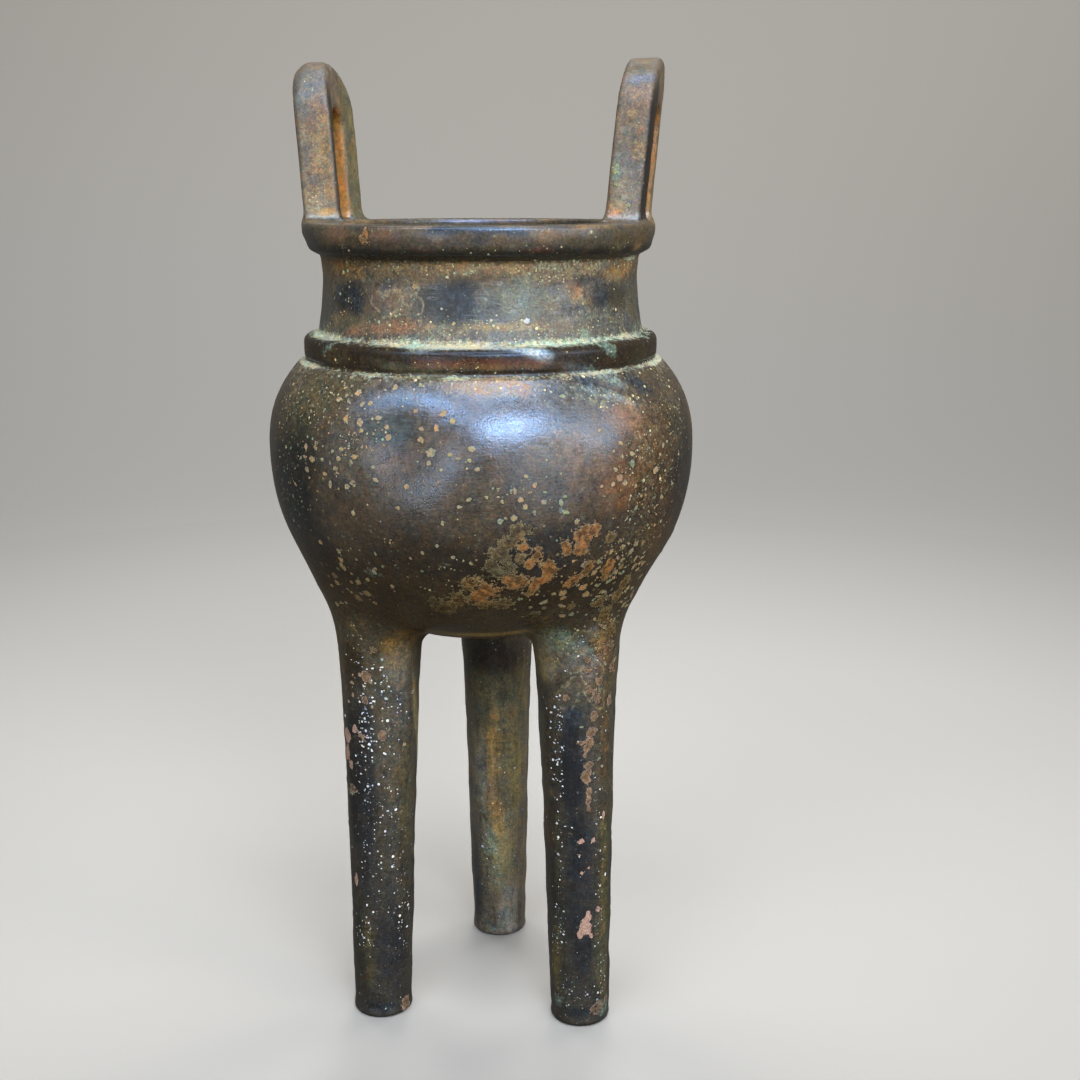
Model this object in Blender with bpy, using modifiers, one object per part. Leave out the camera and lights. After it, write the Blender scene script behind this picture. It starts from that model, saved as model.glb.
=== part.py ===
"""Three-legged incense burner with two upright ears, one copper-alloy casting.

A hollow round bowl with a cylindrical neck, a projecting band at the shoulder
and a thick rolled rim stands on three tall, slightly tapering round legs that
widen smoothly into the belly.  Two pierced ears, each an arched slab bent to
the curve of the rim, stand on the rim and lean a little outwards.

Metres, +Z up.  The origin is under the middle of the bowl, on the plane of
the feet.  The ears stand close to the X axis and the third leg is at +Y.
"""
import math

import bmesh
import bpy
from mathutils import Matrix

for old in list(bpy.data.objects):
    bpy.data.objects.remove(old, do_unlink=True)
for old in list(bpy.data.collections):
    bpy.data.collections.remove(old)

# ---------------------------------------------------------------- dimensions
MM = 0.001
SEGMENTS = 56                    # round the bowl

# rim
RIM_R = 39.05 * MM               # outer radius of the rim
RIM_TOP = 187.8 * MM             # height of its flat top
RIM_EDGE = 0.9 * MM              # rounding of the top edges
RIM_FLAT_END = 184.3 * MM        # the outer face is upright down to here
RIM_UNDER = 180.1 * MM           # the rolled underside meets the neck here
RIM_UNDER_R = 35.7 * MM
RIM_TUCK = 0.75 * MM             # the outer face draws in by this on its way down
MOUTH_R = 29.3 * MM              # opening at the top
MOUTH_EDGE = 0.3 * MM            # broken inner edge of the mouth

# neck
NECK_WAIST_R = 35.35 * MM        # narrowest outer radius
NECK_WAIST_Z = 176.0 * MM
NECK_FOOT_R = 36.7 * MM          # where it meets the band
NECK_BORE_R = 31.4 * MM          # inside the neck

# shoulder band
BAND_TOP = 163.7 * MM
BAND_BOTTOM = 158.8 * MM
BAND_R = 39.95 * MM
BAND_ROUND = 2.0 * MM            # rounding of its upper edge
BAND_SLOPE = 0.5 * MM            # fall of its top from the neck to the edge
BAND_EDGE = 0.4 * MM             # broken lower edge
BAND_CREASE = 0.7 * MM           # height of the crease under it

# belly, two half superellipses that meet at the widest ring
BELLY_R = 48.65 * MM
BELLY_Z = 138.0 * MM
BELLY_RISE = 33.5 * MM           # semi-axis upwards
BELLY_DROP = 44.6 * MM           # semi-axis downwards
RISE_POWER = 2.34
DROP_POWER = 2.11
DROP_ROOT = 2.34
WALL = 3.9 * MM                  # thickness of the belly wall
FLOOR = 4.4 * MM                 # thickness under the bowl

# legs
LEG_AZIMUTHS = (90.0, 210.0, 330.0)
LEG_SIDES = 24
FOOT_CIRCLE_R = 27.9 * MM        # from the axis to the middle of a foot
FOOT_R = 7.05 * MM
FOOT_EDGE = 0.7 * MM             # rounding of the foot's edge
LEG_TAPER = 0.0225               # gain in radius for each metre of height
LEG_SPLAY = -0.0176              # how far the axis moves outwards with height
FLARE_GAIN = 1.1 * MM            # extra radius at FLARE_Z
FLARE_Z = 92.0 * MM
FLARE_LENGTH = 14.0 * MM         # height over which the extra grows e times
LEG_TOP = 111.0 * MM             # hidden inside the belly wall's line

# ears, the +X one first
EAR_TURN = -4.2                  # degrees from the X axis to the ears' line
EAR_LEANS = (0.094, 0.060)       # outward lean
EAR_MID_R = (33.9 * MM, 34.9 * MM)       # middle of the slab at the rim
EAR_THICK = (8.1 * MM, 8.4 * MM)
EAR_BENDS = (10.0, 26.0)         # curvature in plan, 1/m; the rim's is 26
EAR_HALF_WIDTH = 11.1 * MM
EAR_HEIGHT = 34.7 * MM           # above the rim
EAR_ROOT = 2.2 * MM              # let into the rim
EAR_EDGE = 0.9 * MM              # rounding of the edges
SLOT_HALF_WIDTH = 4.3 * MM
SLOT_TOP = 24.4 * MM             # above the rim
EAR_SLICE = 2.4 * MM             # width of the strips that take the bend


# ------------------------------------------------------------------ helpers
def collection(name):
    made = bpy.data.collections.new(name)
    bpy.context.scene.collection.children.link(made)
    return made


def copper_material():
    mat = bpy.data.materials.new("patinated_copper")
    mat.use_nodes = True
    shader = mat.node_tree.nodes["Principled BSDF"]
    shader.inputs["Base Color"].default_value = (0.105, 0.072, 0.040, 1.0)
    shader.inputs["Metallic"].default_value = 0.85
    shader.inputs["Roughness"].default_value = 0.42
    return mat


def evaluated_mesh(obj, name):
    depsgraph = bpy.context.evaluated_depsgraph_get()
    depsgraph.update()
    mesh = bpy.data.meshes.new_from_object(obj.evaluated_get(depsgraph))
    mesh.name = name
    return mesh


def turned(name, profile, steps, where):
    """A closed turned solid from an open (radius, height) profile."""
    mesh = bpy.data.meshes.new(name)
    verts = [(r, 0.0, z) for r, z in profile]
    edges = [(i, i + 1) for i in range(len(verts) - 1)]
    mesh.from_pydata(verts, edges, [])
    obj = bpy.data.objects.new(name, mesh)
    where.objects.link(obj)
    screw = obj.modifiers.new("turn", 'SCREW')
    screw.axis = 'Z'
    screw.angle = math.tau
    screw.steps = steps
    screw.render_steps = steps
    screw.use_merge_vertices = True
    screw.merge_threshold = 0.00005
    solid = evaluated_mesh(obj, name)
    bpy.data.objects.remove(obj, do_unlink=True)
    out = bpy.data.objects.new(name, solid)
    where.objects.link(out)
    return out


def quarter(cx, cz, radius, start, stop, count):
    """Points on an arc, angles in degrees from +radius towards +height."""
    pts = []
    for i in range(count + 1):
        a = math.radians(start + (stop - start) * i / count)
        pts.append((cx + radius * math.cos(a), cz + radius * math.sin(a)))
    return pts


# ------------------------------------------------------------- bowl profile
def belly_radius(z, reach, rise, drop):
    """Outer or inner radius of the belly at height z."""
    if z >= BELLY_Z:
        t = min(1.0, (z - BELLY_Z) / rise)
        return reach * math.sqrt(max(0.0, 1.0 - t ** RISE_POWER))
    t = min(1.0, (BELLY_Z - z) / drop)
    return reach * max(0.0, 1.0 - t ** DROP_POWER) ** (1.0 / DROP_ROOT)


def neck_radius(z):
    """Shallow concave neck, narrowest a little under the rim."""
    if z >= NECK_WAIST_Z:
        t = (z - NECK_WAIST_Z) / (RIM_UNDER - NECK_WAIST_Z)
        return NECK_WAIST_R + (RIM_UNDER_R - NECK_WAIST_R) * t * t
    t = (NECK_WAIST_Z - z) / (NECK_WAIST_Z - BAND_TOP)
    return NECK_WAIST_R + (NECK_FOOT_R - NECK_WAIST_R) * t ** 1.5


def outer_profile():
    """The outside, from the middle of the flat top down to the bottom pole."""
    pts = [(0.0, RIM_TOP)]
    pts += quarter(RIM_R - RIM_EDGE, RIM_TOP - RIM_EDGE, RIM_EDGE, 90, 0, 3)
    # nearly upright face, then the rolled underside
    low_r = RIM_R - RIM_TUCK
    reach_r = low_r - RIM_UNDER_R
    reach_z = RIM_FLAT_END - RIM_UNDER
    for i in range(6):
        a = math.radians(90.0 * i / 5)
        pts.append((RIM_UNDER_R + reach_r * abs(math.cos(a)) ** 0.8,
                    RIM_FLAT_END - reach_z * math.sin(a)))
    # neck
    for i in range(1, 6):
        z = RIM_UNDER + (BAND_TOP - RIM_UNDER) * i / 5
        pts.append((neck_radius(z), z))
    # band: sloping shoulder, rounded edge, upright face
    pts += quarter(BAND_R - BAND_ROUND, BAND_TOP - BAND_SLOPE - BAND_ROUND,
                   BAND_ROUND, 78, 0, 4)
    pts.append((BAND_R, BAND_BOTTOM + BAND_EDGE))
    pts.append((BAND_R - BAND_EDGE, BAND_BOTTOM))
    # belly down to the pole
    start = BAND_BOTTOM - BAND_CREASE
    for i in range(8):
        z = BELLY_Z + (start - BELLY_Z) * math.cos(math.radians(90.0 * i / 8))
        pts.append((belly_radius(z, BELLY_R, BELLY_RISE, BELLY_DROP), z))
    for i in range(11):
        z = BELLY_Z - BELLY_DROP * math.sin(math.radians(90.0 * i / 11))
        pts.append((belly_radius(z, BELLY_R, BELLY_RISE, BELLY_DROP), z))
    pts.append((0.0, BELLY_Z - BELLY_DROP))
    return pts


def hollow_profile():
    """The hollow, from above the mouth down to the floor of the bowl."""
    reach = BELLY_R - WALL
    rise = BELLY_RISE - WALL * 0.8
    drop = BELLY_DROP - FLOOR
    over = RIM_TOP + 4.0 * MM
    pts = [(0.0, over), (MOUTH_R + MOUTH_EDGE, over), (MOUTH_R + MOUTH_EDGE, RIM_TOP),
           (MOUTH_R, RIM_TOP - MOUTH_EDGE), (MOUTH_R, RIM_UNDER + 1.0 * MM),
           (NECK_BORE_R, RIM_UNDER - 1.5 * MM)]
    top = rise * (1.0 - (NECK_BORE_R / reach) ** 2) ** (1.0 / RISE_POWER)
    for i in range(6):
        z = BELLY_Z + top * math.cos(math.radians(90.0 * i / 6))
        pts.append((belly_radius(z, reach, rise, drop), z))
    for i in range(8):
        z = BELLY_Z - drop * math.sin(math.radians(90.0 * i / 8))
        pts.append((belly_radius(z, reach, rise, drop), z))
    pts.append((0.0, BELLY_Z - drop))
    return pts


# --------------------------------------------------------------------- legs
def leg_radius(z):
    return FOOT_R + LEG_TAPER * z + FLARE_GAIN * math.exp((z - FLARE_Z) / FLARE_LENGTH)


def leg_profile():
    heights = [LEG_TOP, 107.0 * MM, 102.0 * MM, 97.0 * MM, 91.0 * MM, 84.0 * MM,
               74.0 * MM, 58.0 * MM, 30.0 * MM, FOOT_EDGE]
    pts = [(0.0, LEG_TOP)]
    pts += [(leg_radius(z), z) for z in heights]
    pts.append((leg_radius(0.0) - FOOT_EDGE * 0.3, FOOT_EDGE * 0.3))
    pts.append((leg_radius(0.0) - FOOT_EDGE, 0.0))
    pts.append((0.0, 0.0))
    return pts


def make_leg(index, azimuth, where):
    leg = turned("leg_blank_%d" % index, leg_profile(), LEG_SIDES, where)
    a = math.radians(azimuth)
    lean = Matrix.Identity(4)
    lean[0][2] = LEG_SPLAY * math.cos(a)
    lean[1][2] = LEG_SPLAY * math.sin(a)
    place = Matrix.Translation((FOOT_CIRCLE_R * math.cos(a),
                                FOOT_CIRCLE_R * math.sin(a), 0.0))
    leg.data.transform(place @ lean)
    return leg


# --------------------------------------------------------------------- ears
def arch_outline(half_width, top, foot, count):
    """Closed outline of an upright slab with a round head, in (s, h)."""
    pts = [(half_width, foot), ]
    for i in range(count + 1):
        a = math.pi * i / count
        pts.append((half_width * math.cos(a), top - half_width + half_width * math.sin(a)))
    pts.append((-half_width, foot))
    return pts


def add_spline(curve, pts):
    spline = curve.splines.new('POLY')
    spline.points.add(len(pts) - 1)
    for point, (s, h) in zip(spline.points, pts):
        point.co = (s, h, 0.0, 1.0)
    spline.use_cyclic_u = True


def make_ear(index, where):
    name = "ear_blank_%d" % index
    lean = EAR_LEANS[index]
    thick = EAR_THICK[index]
    curve = bpy.data.curves.new(name, 'CURVE')
    curve.dimensions = '2D'
    curve.fill_mode = 'BOTH'
    curve.extrude = thick / 2 - EAR_EDGE
    curve.bevel_depth = EAR_EDGE
    curve.bevel_resolution = 1
    curve.offset = -EAR_EDGE
    add_spline(curve, arch_outline(EAR_HALF_WIDTH, EAR_HEIGHT, -EAR_ROOT, 18))
    add_spline(curve, arch_outline(SLOT_HALF_WIDTH, SLOT_TOP, -EAR_ROOT * 0.35, 10))
    flat = bpy.data.objects.new(name, curve)
    where.objects.link(flat)
    mesh = evaluated_mesh(flat, name)
    bpy.data.objects.remove(flat, do_unlink=True)

    bm = bmesh.new()
    bm.from_mesh(mesh)
    bmesh.ops.remove_doubles(bm, verts=bm.verts, dist=0.00002)
    # strips across the slab, so that it can follow the rim
    strips = int(EAR_HALF_WIDTH / EAR_SLICE)
    for k in range(-strips, strips + 1):
        geom = bm.verts[:] + bm.edges[:] + bm.faces[:]
        bmesh.ops.bisect_plane(bm, geom=geom, dist=0.00001,
                               plane_co=(k * EAR_SLICE, 0.0, 0.0), plane_no=(1.0, 0.0, 0.0))
    bmesh.ops.triangulate(bm, faces=bm.faces[:])
    # curve axes: x along the slab, y up, z through its thickness
    turn = math.radians(EAR_TURN + 180.0 * index)
    for v in bm.verts:
        s, h, depth = v.co.x, v.co.y, v.co.z
        r = EAR_MID_R[index] + lean * h + depth - EAR_BENDS[index] * s * s / 2
        v.co = (r * math.cos(turn) - s * math.sin(turn),
                r * math.sin(turn) + s * math.cos(turn), RIM_TOP + h)
    bmesh.ops.recalc_face_normals(bm, faces=bm.faces[:])
    bm.to_mesh(mesh)
    bm.free()
    ear = bpy.data.objects.new(name, mesh)
    where.objects.link(ear)
    return ear


# ----------------------------------------------------------------- assembly
parts = collection("incense_burner_parts")
cutters = collection("cutters")

burner = turned("incense_burner", outer_profile(), SEGMENTS, parts)
burner.data.materials.clear()
burner.data.materials.append(copper_material())

joined = []
for n, azimuth in enumerate(LEG_AZIMUTHS):
    joined.append(make_leg(n, azimuth, cutters))
for n in range(2):
    joined.append(make_ear(n, cutters))
hollow = turned("hollow", hollow_profile(), SEGMENTS, cutters)

for other in joined + [hollow]:
    other.hide_render = True
    other.display_type = 'WIRE'
    step = burner.modifiers.new("with_%s" % other.name, 'BOOLEAN')
    step.operation = 'DIFFERENCE' if other is hollow else 'UNION'
    step.solver = 'EXACT'
    step.object = other

burner.data.shade_smooth()
burner.data.set_sharp_from_angle(angle=math.radians(35.0))
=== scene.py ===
"""The looks of the three-legged incense burner: one cast piece with its patina,
corrosion and wear, a pale floor, soft studio light and the camera.

Lengths in the shape functions are millimetres; the mesh is made in metres.
"""
import math

import bpy
import mathutils.kdtree
import numpy as np
from mathutils import Matrix, Vector


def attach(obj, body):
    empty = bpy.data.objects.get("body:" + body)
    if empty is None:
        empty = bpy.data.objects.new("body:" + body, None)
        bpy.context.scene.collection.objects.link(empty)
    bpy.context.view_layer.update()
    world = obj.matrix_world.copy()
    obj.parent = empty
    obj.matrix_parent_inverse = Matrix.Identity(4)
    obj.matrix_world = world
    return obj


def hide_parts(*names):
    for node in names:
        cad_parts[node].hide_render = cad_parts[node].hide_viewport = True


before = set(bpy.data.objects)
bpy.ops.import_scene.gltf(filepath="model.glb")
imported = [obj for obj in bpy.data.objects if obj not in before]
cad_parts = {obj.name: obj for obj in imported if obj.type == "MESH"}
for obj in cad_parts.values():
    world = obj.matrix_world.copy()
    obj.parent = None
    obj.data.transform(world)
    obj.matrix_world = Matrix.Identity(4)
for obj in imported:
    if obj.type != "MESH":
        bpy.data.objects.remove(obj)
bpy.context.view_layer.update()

MM = 0.001

# ------------------------------------------------------------------- camera
# Fitted to the rim, the band, the feet and the ears of the burner.
CAM_AZIMUTH = 6.99               # degrees from -Y towards +X
CAM_DISTANCE = 8.5712 * 39.0     # mm from the axis
CAM_HEIGHT = 5.007 * 39.0
CAM_PITCH = 13.618               # degrees down
CAM_YAW = -2.291
CAM_ROLL = -0.067
CAM_FOCAL = 1457.67              # in pixels of a 1080 frame


def camera_basis():
    a = math.radians(CAM_AZIMUTH)
    place = np.array([CAM_DISTANCE * math.sin(a), -CAM_DISTANCE * math.cos(a), CAM_HEIGHT])
    turn = math.atan2(-place[1], -place[0]) + math.radians(CAM_YAW)
    down = math.radians(CAM_PITCH)
    ahead = np.array([math.cos(turn) * math.cos(down), math.sin(turn) * math.cos(down),
                      -math.sin(down)])
    right = np.cross(ahead, [0.0, 0.0, 1.0])
    right /= np.linalg.norm(right)
    up = np.cross(right, ahead)
    c, s = math.cos(math.radians(CAM_ROLL)), math.sin(math.radians(CAM_ROLL))
    return place, ahead, right * c + up * s, up * c - right * s


def make_camera():
    place, ahead, right, up = camera_basis()
    data = bpy.data.cameras.new("camera")
    data.sensor_width = 36.0
    data.lens = 36.0 * CAM_FOCAL / 1080.0
    data.clip_start = 0.01
    data.clip_end = 20.0
    cam = bpy.data.objects.new("camera", data)
    bpy.context.scene.collection.objects.link(cam)
    turn = Matrix((
        (right[0], up[0], -ahead[0], place[0] * MM),
        (right[1], up[1], -ahead[1], place[1] * MM),
        (right[2], up[2], -ahead[2], place[2] * MM),
        (0.0, 0.0, 0.0, 1.0)))
    cam.matrix_world = turn
    bpy.context.scene.camera = cam
    return cam


# ------------------------------------------------------------------- shapes
RIM_TOP = 187.8
BELLY_R, BELLY_Z, BELLY_RISE, BELLY_DROP = 48.65, 138.0, 33.5, 44.6
RISE_POWER, DROP_POWER, DROP_ROOT = 2.34, 2.11, 2.34
WALL, FLOOR = 3.9, 4.4
MOUTH_R, NECK_BORE_R = 29.3, 31.4
BORE_CUT = 176.5                 # the fine surface stops here inside the neck

LEG_AZIMUTHS = (90.0, 210.0, 330.0)
FOOT_CIRCLE_R, FOOT_R, FOOT_EDGE = 27.9, 7.05, 1.0
LEG_TAPER, LEG_SPLAY = 0.0225, -0.0176
FLARE_GAIN, FLARE_Z, FLARE_LENGTH = 0.8, 92.0, 13.0
LEG_BLEND_OUT, LEG_BLEND_IN = 8.0, 2.8

EAR_TURN = -4.2
EARS = (  # azimuth offset, lean, middle radius, thickness, curvature in plan, own turn, head
    (0.0, 0.096, 33.65, 8.1, 0.008, -1.2, 0.7),
    (180.0, 0.064, 35.05, 8.5, 0.026, 1.9, 2.9),
)
EAR_HALF_WIDTH, EAR_HEIGHT, EAR_ROOT, EAR_EDGE = 11.1, 34.55, 2.6, 1.0
SLOT_HALF_WIDTH, SLOT_TOP = 4.3, 24.4
EAR_BLEND = 2.6


def belly_radius(z, reach, rise, drop):
    if z >= BELLY_Z:
        t = min(1.0, (z - BELLY_Z) / rise)
        return reach * math.sqrt(max(0.0, 1.0 - t ** RISE_POWER))
    t = min(1.0, (BELLY_Z - z) / drop)
    return reach * max(0.0, 1.0 - t ** DROP_POWER) ** (1.0 / DROP_ROOT)


def filleted(corners, steps=7):
    """A polyline whose corners (r, z, fillet radius) are rounded."""
    out = []
    n = len(corners)
    for i, (r, z, rad) in enumerate(corners):
        p = np.array([r, z])
        if i in (0, n - 1) or rad <= 0.0:
            out.append(tuple(p))
            continue
        a = np.array(corners[i - 1][:2]) - p
        b = np.array(corners[i + 1][:2]) - p
        la, lb = np.linalg.norm(a), np.linalg.norm(b)
        a, b = a / la, b / lb
        half = math.acos(max(-1.0, min(1.0, float(a @ b)))) / 2
        cut = min(rad / math.tan(half), 0.48 * la, 0.48 * lb)
        p0, p1 = p + a * cut, p + b * cut
        for k in range(steps + 1):
            t = k / steps
            out.append(tuple((1 - t) ** 2 * p0 + 2 * t * (1 - t) * p + t * t * p1))
    return out


def outer_outline():
    upper = filleted([
        (0.0, RIM_TOP, 0.0),
        (39.05, RIM_TOP, 1.0),
        (39.2, 185.4, 3.0),
        (38.35, 181.9, 2.2),
        (35.8, 180.6, 0.7),
        (35.35, 176.0, 14.0),
        (35.9, 169.5, 18.0),
        (36.75, 163.9, 0.9),
        (40.0, 163.2, 1.9),
        (40.0, 158.8, 0.6),
        (39.45, 158.2, 0.35),
        (belly_radius(157.5, BELLY_R, BELLY_RISE, BELLY_DROP), 157.5, 0.0)])
    lower = []
    for i in range(1, 41):
        z = BELLY_Z + (157.5 - BELLY_Z) * math.cos(math.radians(90.0 * i / 40))
        lower.append((belly_radius(z, BELLY_R, BELLY_RISE, BELLY_DROP), z))
    for i in range(1, 80):
        z = BELLY_Z - BELLY_DROP * math.sin(math.radians(90.0 * i / 80))
        lower.append((belly_radius(z, BELLY_R, BELLY_RISE, BELLY_DROP), z))
    lower.append((0.0, BELLY_Z - BELLY_DROP))
    return upper + lower


def hollow_outline():
    """The hollow's side, from over the mouth down to the middle of the floor."""
    reach, rise, drop = BELLY_R - WALL, BELLY_RISE - WALL * 0.8, BELLY_DROP - FLOOR
    z_in = BELLY_Z + rise * (1.0 - (NECK_BORE_R / reach) ** 2) ** (1.0 / RISE_POWER)
    upper = filleted([
        (0.0, 200.0, 0.0), (MOUTH_R, 200.0, 0.0), (MOUTH_R, 181.4, 3.0),
        (NECK_BORE_R, 178.0, 4.0), (NECK_BORE_R, z_in, 4.0),
        (belly_radius(z_in - 4.0, reach, rise, drop), z_in - 4.0, 0.0)])
    lower = []
    for i in range(1, 25):
        z = BELLY_Z + (z_in - 4.0 - BELLY_Z) * math.cos(math.radians(90.0 * i / 24))
        lower.append((belly_radius(z, reach, rise, drop), z))
    for i in range(1, 50):
        z = BELLY_Z - drop * math.sin(math.radians(90.0 * i / 50))
        lower.append((belly_radius(z, reach, rise, drop), z))
    lower.append((0.0, BELLY_Z - drop))
    return upper + lower


def outline_distance(outline, r, z):
    """Signed distance in the (r, z) half plane to an outline closed on the axis."""
    pts = np.array(outline)
    a, b = pts[:-1], pts[1:]
    shape = r.shape
    r, z = r.ravel(), z.ravel()
    best = np.full(r.shape, 1e9)
    inside = np.zeros(r.shape, bool)
    for (ar, az), (br, bz) in zip(a, b):
        dr, dz = br - ar, bz - az
        ll = dr * dr + dz * dz
        if ll < 1e-12:
            continue
        t = np.clip(((r - ar) * dr + (z - az) * dz) / ll, 0.0, 1.0)
        best = np.minimum(best, (r - ar - t * dr) ** 2 + (z - az - t * dz) ** 2)
        if az != bz:
            cross = ((az > z) != (bz > z)) & (r < (br - ar) * (z - az) / (bz - az) + ar)
            inside ^= cross
    best = np.sqrt(best)
    return np.where(inside, -best, best).reshape(shape)


class Table:
    """A signed distance in (r, z), read by interpolation."""

    def __init__(self, outline, r_top=62.0, z_low=-6.0, z_top=232.0, step=0.2):
        self.step, self.z_low = step, z_low
        rr = np.arange(0.0, r_top + step, step)
        zz = np.arange(z_low, z_top + step, step)
        # coarse first, fine only near the outline
        fine_r, fine_z = np.meshgrid(rr, zz, indexing='ij')
        cr, cz = np.meshgrid(rr[::8], zz[::8], indexing='ij')
        coarse = outline_distance(outline, cr, cz)
        values = self.lift(coarse, fine_r.shape)
        near = np.abs(values) < 3.2
        values[near] = outline_distance(outline, fine_r[near], fine_z[near])
        self.values = values

    @staticmethod
    def lift(coarse, shape):
        i = np.arange(shape[0]) / 8.0
        k = np.arange(shape[1]) / 8.0
        i0 = np.minimum(i.astype(int), coarse.shape[0] - 2)
        k0 = np.minimum(k.astype(int), coarse.shape[1] - 2)
        fi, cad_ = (i - i0)[:, None], (k - k0)[None, :]
        g = coarse
        return ((g[i0][:, k0] * (1 - fi) + g[i0 + 1][:, k0] * fi) * (1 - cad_)
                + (g[i0][:, k0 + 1] * (1 - fi) + g[i0 + 1][:, k0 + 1] * fi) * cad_)

    def __call__(self, r, z):
        i = np.clip(r / self.step, 0, self.values.shape[0] - 1.001)
        k = np.clip((z - self.z_low) / self.step, 0, self.values.shape[1] - 1.001)
        i0, k0 = i.astype(int), k.astype(int)
        fi, fz = i - i0, k - k0
        g = self.values
        return ((g[i0, k0] * (1 - fi) + g[i0 + 1, k0] * fi) * (1 - fz)
                + (g[i0, k0 + 1] * (1 - fi) + g[i0 + 1, k0 + 1] * fi) * fz)


def smooth_min(a, b, k):
    h = np.maximum(k - np.abs(a - b), 0.0) / k
    return np.minimum(a, b) - h * h * k * 0.25


def smooth_max(a, b, k):
    return -smooth_min(-a, -b, k)


def add_legs(body, x, y, z):
    """The body run together with its legs: a wide sweep outside, a tight one below."""
    radius = FOOT_R + LEG_TAPER * z + FLARE_GAIN * np.exp(
        np.clip((z - FLARE_Z) / FLARE_LENGTH, -20.0, 1.2))
    ring = FOOT_CIRCLE_R + LEG_SPLAY * z
    for azimuth in LEG_AZIMUTHS:
        c, s = math.cos(math.radians(azimuth)), math.sin(math.radians(azimuth))
        dx, dy = x - ring * c, y - ring * s
        away = np.hypot(dx, dy)
        side, foot = away - radius + FOOT_EDGE, -z + FOOT_EDGE
        d = (np.minimum(np.maximum(side, foot), 0.0)
             + np.hypot(np.maximum(side, 0.0), np.maximum(foot, 0.0)) - FOOT_EDGE)
        d = np.maximum(d, z - 118.0)
        turn = (dx * c + dy * s) / np.maximum(away, 1e-6)
        turn = np.clip((turn + 0.75) / 1.1, 0.0, 1.0)
        blend = LEG_BLEND_IN + (LEG_BLEND_OUT - LEG_BLEND_IN) * turn * turn * (3 - 2 * turn)
        body = smooth_min(body, d, blend)
    return body


def ear_local(x, y, z, ear):
    azimuth, lean, mid, thick, bend, own = ear[:6]
    a = math.radians(EAR_TURN + azimuth)
    h = z - RIM_TOP
    out = x * math.cos(a) + y * math.sin(a) - mid - lean * h
    side = -x * math.sin(a) + y * math.cos(a)
    c, w = math.cos(math.radians(own)), math.sin(math.radians(own))
    s = side * c - out * w
    depth = out * c + side * w + bend * s * s / 2
    return s, h, depth


def ear_distance(x, y, z):
    best = None
    for ear in EARS:
        s, h, depth = ear_local(x, y, z, ear)
        thick = ear[3] * (1.0 - 0.05 * np.clip(h / EAR_HEIGHT, 0.0, 1.0) ** 2)
        head = EAR_HEIGHT - EAR_HALF_WIDTH
        arch = np.where(h > head, np.hypot(s, h - head), np.abs(s)) - EAR_HALF_WIDTH
        arch = np.maximum(arch, -EAR_ROOT - h)
        slot_head = SLOT_TOP - SLOT_HALF_WIDTH
        slot = np.where(h > slot_head, np.hypot(s, h - slot_head), np.abs(s)) - SLOT_HALF_WIDTH
        slot = np.maximum(slot, -h - 0.6)
        flat = smooth_max(arch, -slot, 0.8)
        face = np.abs(depth) - thick / 2
        head_up = np.clip((h - 22.0) / 11.0, 0.0, 1.0)
        edge = EAR_EDGE + ear[6] * head_up ** 2 * np.where(depth > 0, 1.0, 0.35)
        p, q = flat + edge, face + edge
        d = (np.minimum(np.maximum(p, q), 0.0)
             + np.hypot(np.maximum(p, 0.0), np.maximum(q, 0.0)) - edge)
        best = d if best is None else np.minimum(best, d)
    return best


OUTER = Table(outer_outline())
HOLLOW = Table(hollow_outline())


def solid_distance(x, y, z):
    """Signed distance to the casting, without its hollow below the mouth."""
    r = np.hypot(x, y)
    d = OUTER(r, z)
    low = z < 126.0
    if low.any():
        d[low] = add_legs(d[low], x[low], y[low], z[low])
    high = z > RIM_TOP - 14.0
    if high.any():
        ears = ear_distance(x[high], y[high], z[high])
        d[high] = smooth_min(d[high], ears, EAR_BLEND)
        mouth = np.maximum(HOLLOW(r[high], z[high]), BORE_CUT - 2.0 - z[high])
        d[high] = smooth_max(d[high], -mouth, 0.9)
    return d


# ---------------------------------------------------------- surface building
THETA_STEPS = 264


def spaced(bands):
    """Grid lines from (start, stop, spacing) bands that follow each other."""
    out = [bands[0][0]]
    for start, stop, step in bands:
        n = max(1, round((stop - start) / step))
        out += list(np.linspace(start, stop, n + 1)[1:])
    return np.array(out)


R_LINES = spaced([(12.0, 18.0, 1.1), (18.0, 29.0, 1.0), (29.0, 30.0, 0.5),
                  (30.0, 34.8, 0.96), (34.8, 40.6, 0.64), (40.6, 50.6, 1.0)])
Z_LINES = spaced([(-1.4, -0.25, 0.6), (-0.25, 1.6, 0.5), (1.6, 88.0, 1.12), (88.0, 93.0, 0.83),
                  (93.0, 95.2, 2.2), (95.2, 102.0, 0.85),
                  (102.0, 155.0, 1.05), (155.0, 157.2, 0.8), (157.2, 165.0, 0.43),
                  (165.0, 179.0, 1.0), (179.0, 182.4, 0.45), (182.4, 186.0, 0.62),
                  (186.0, 188.8, 0.35), (188.8, 220.0, 1.0), (220.0, 224.2, 0.7)])


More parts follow.
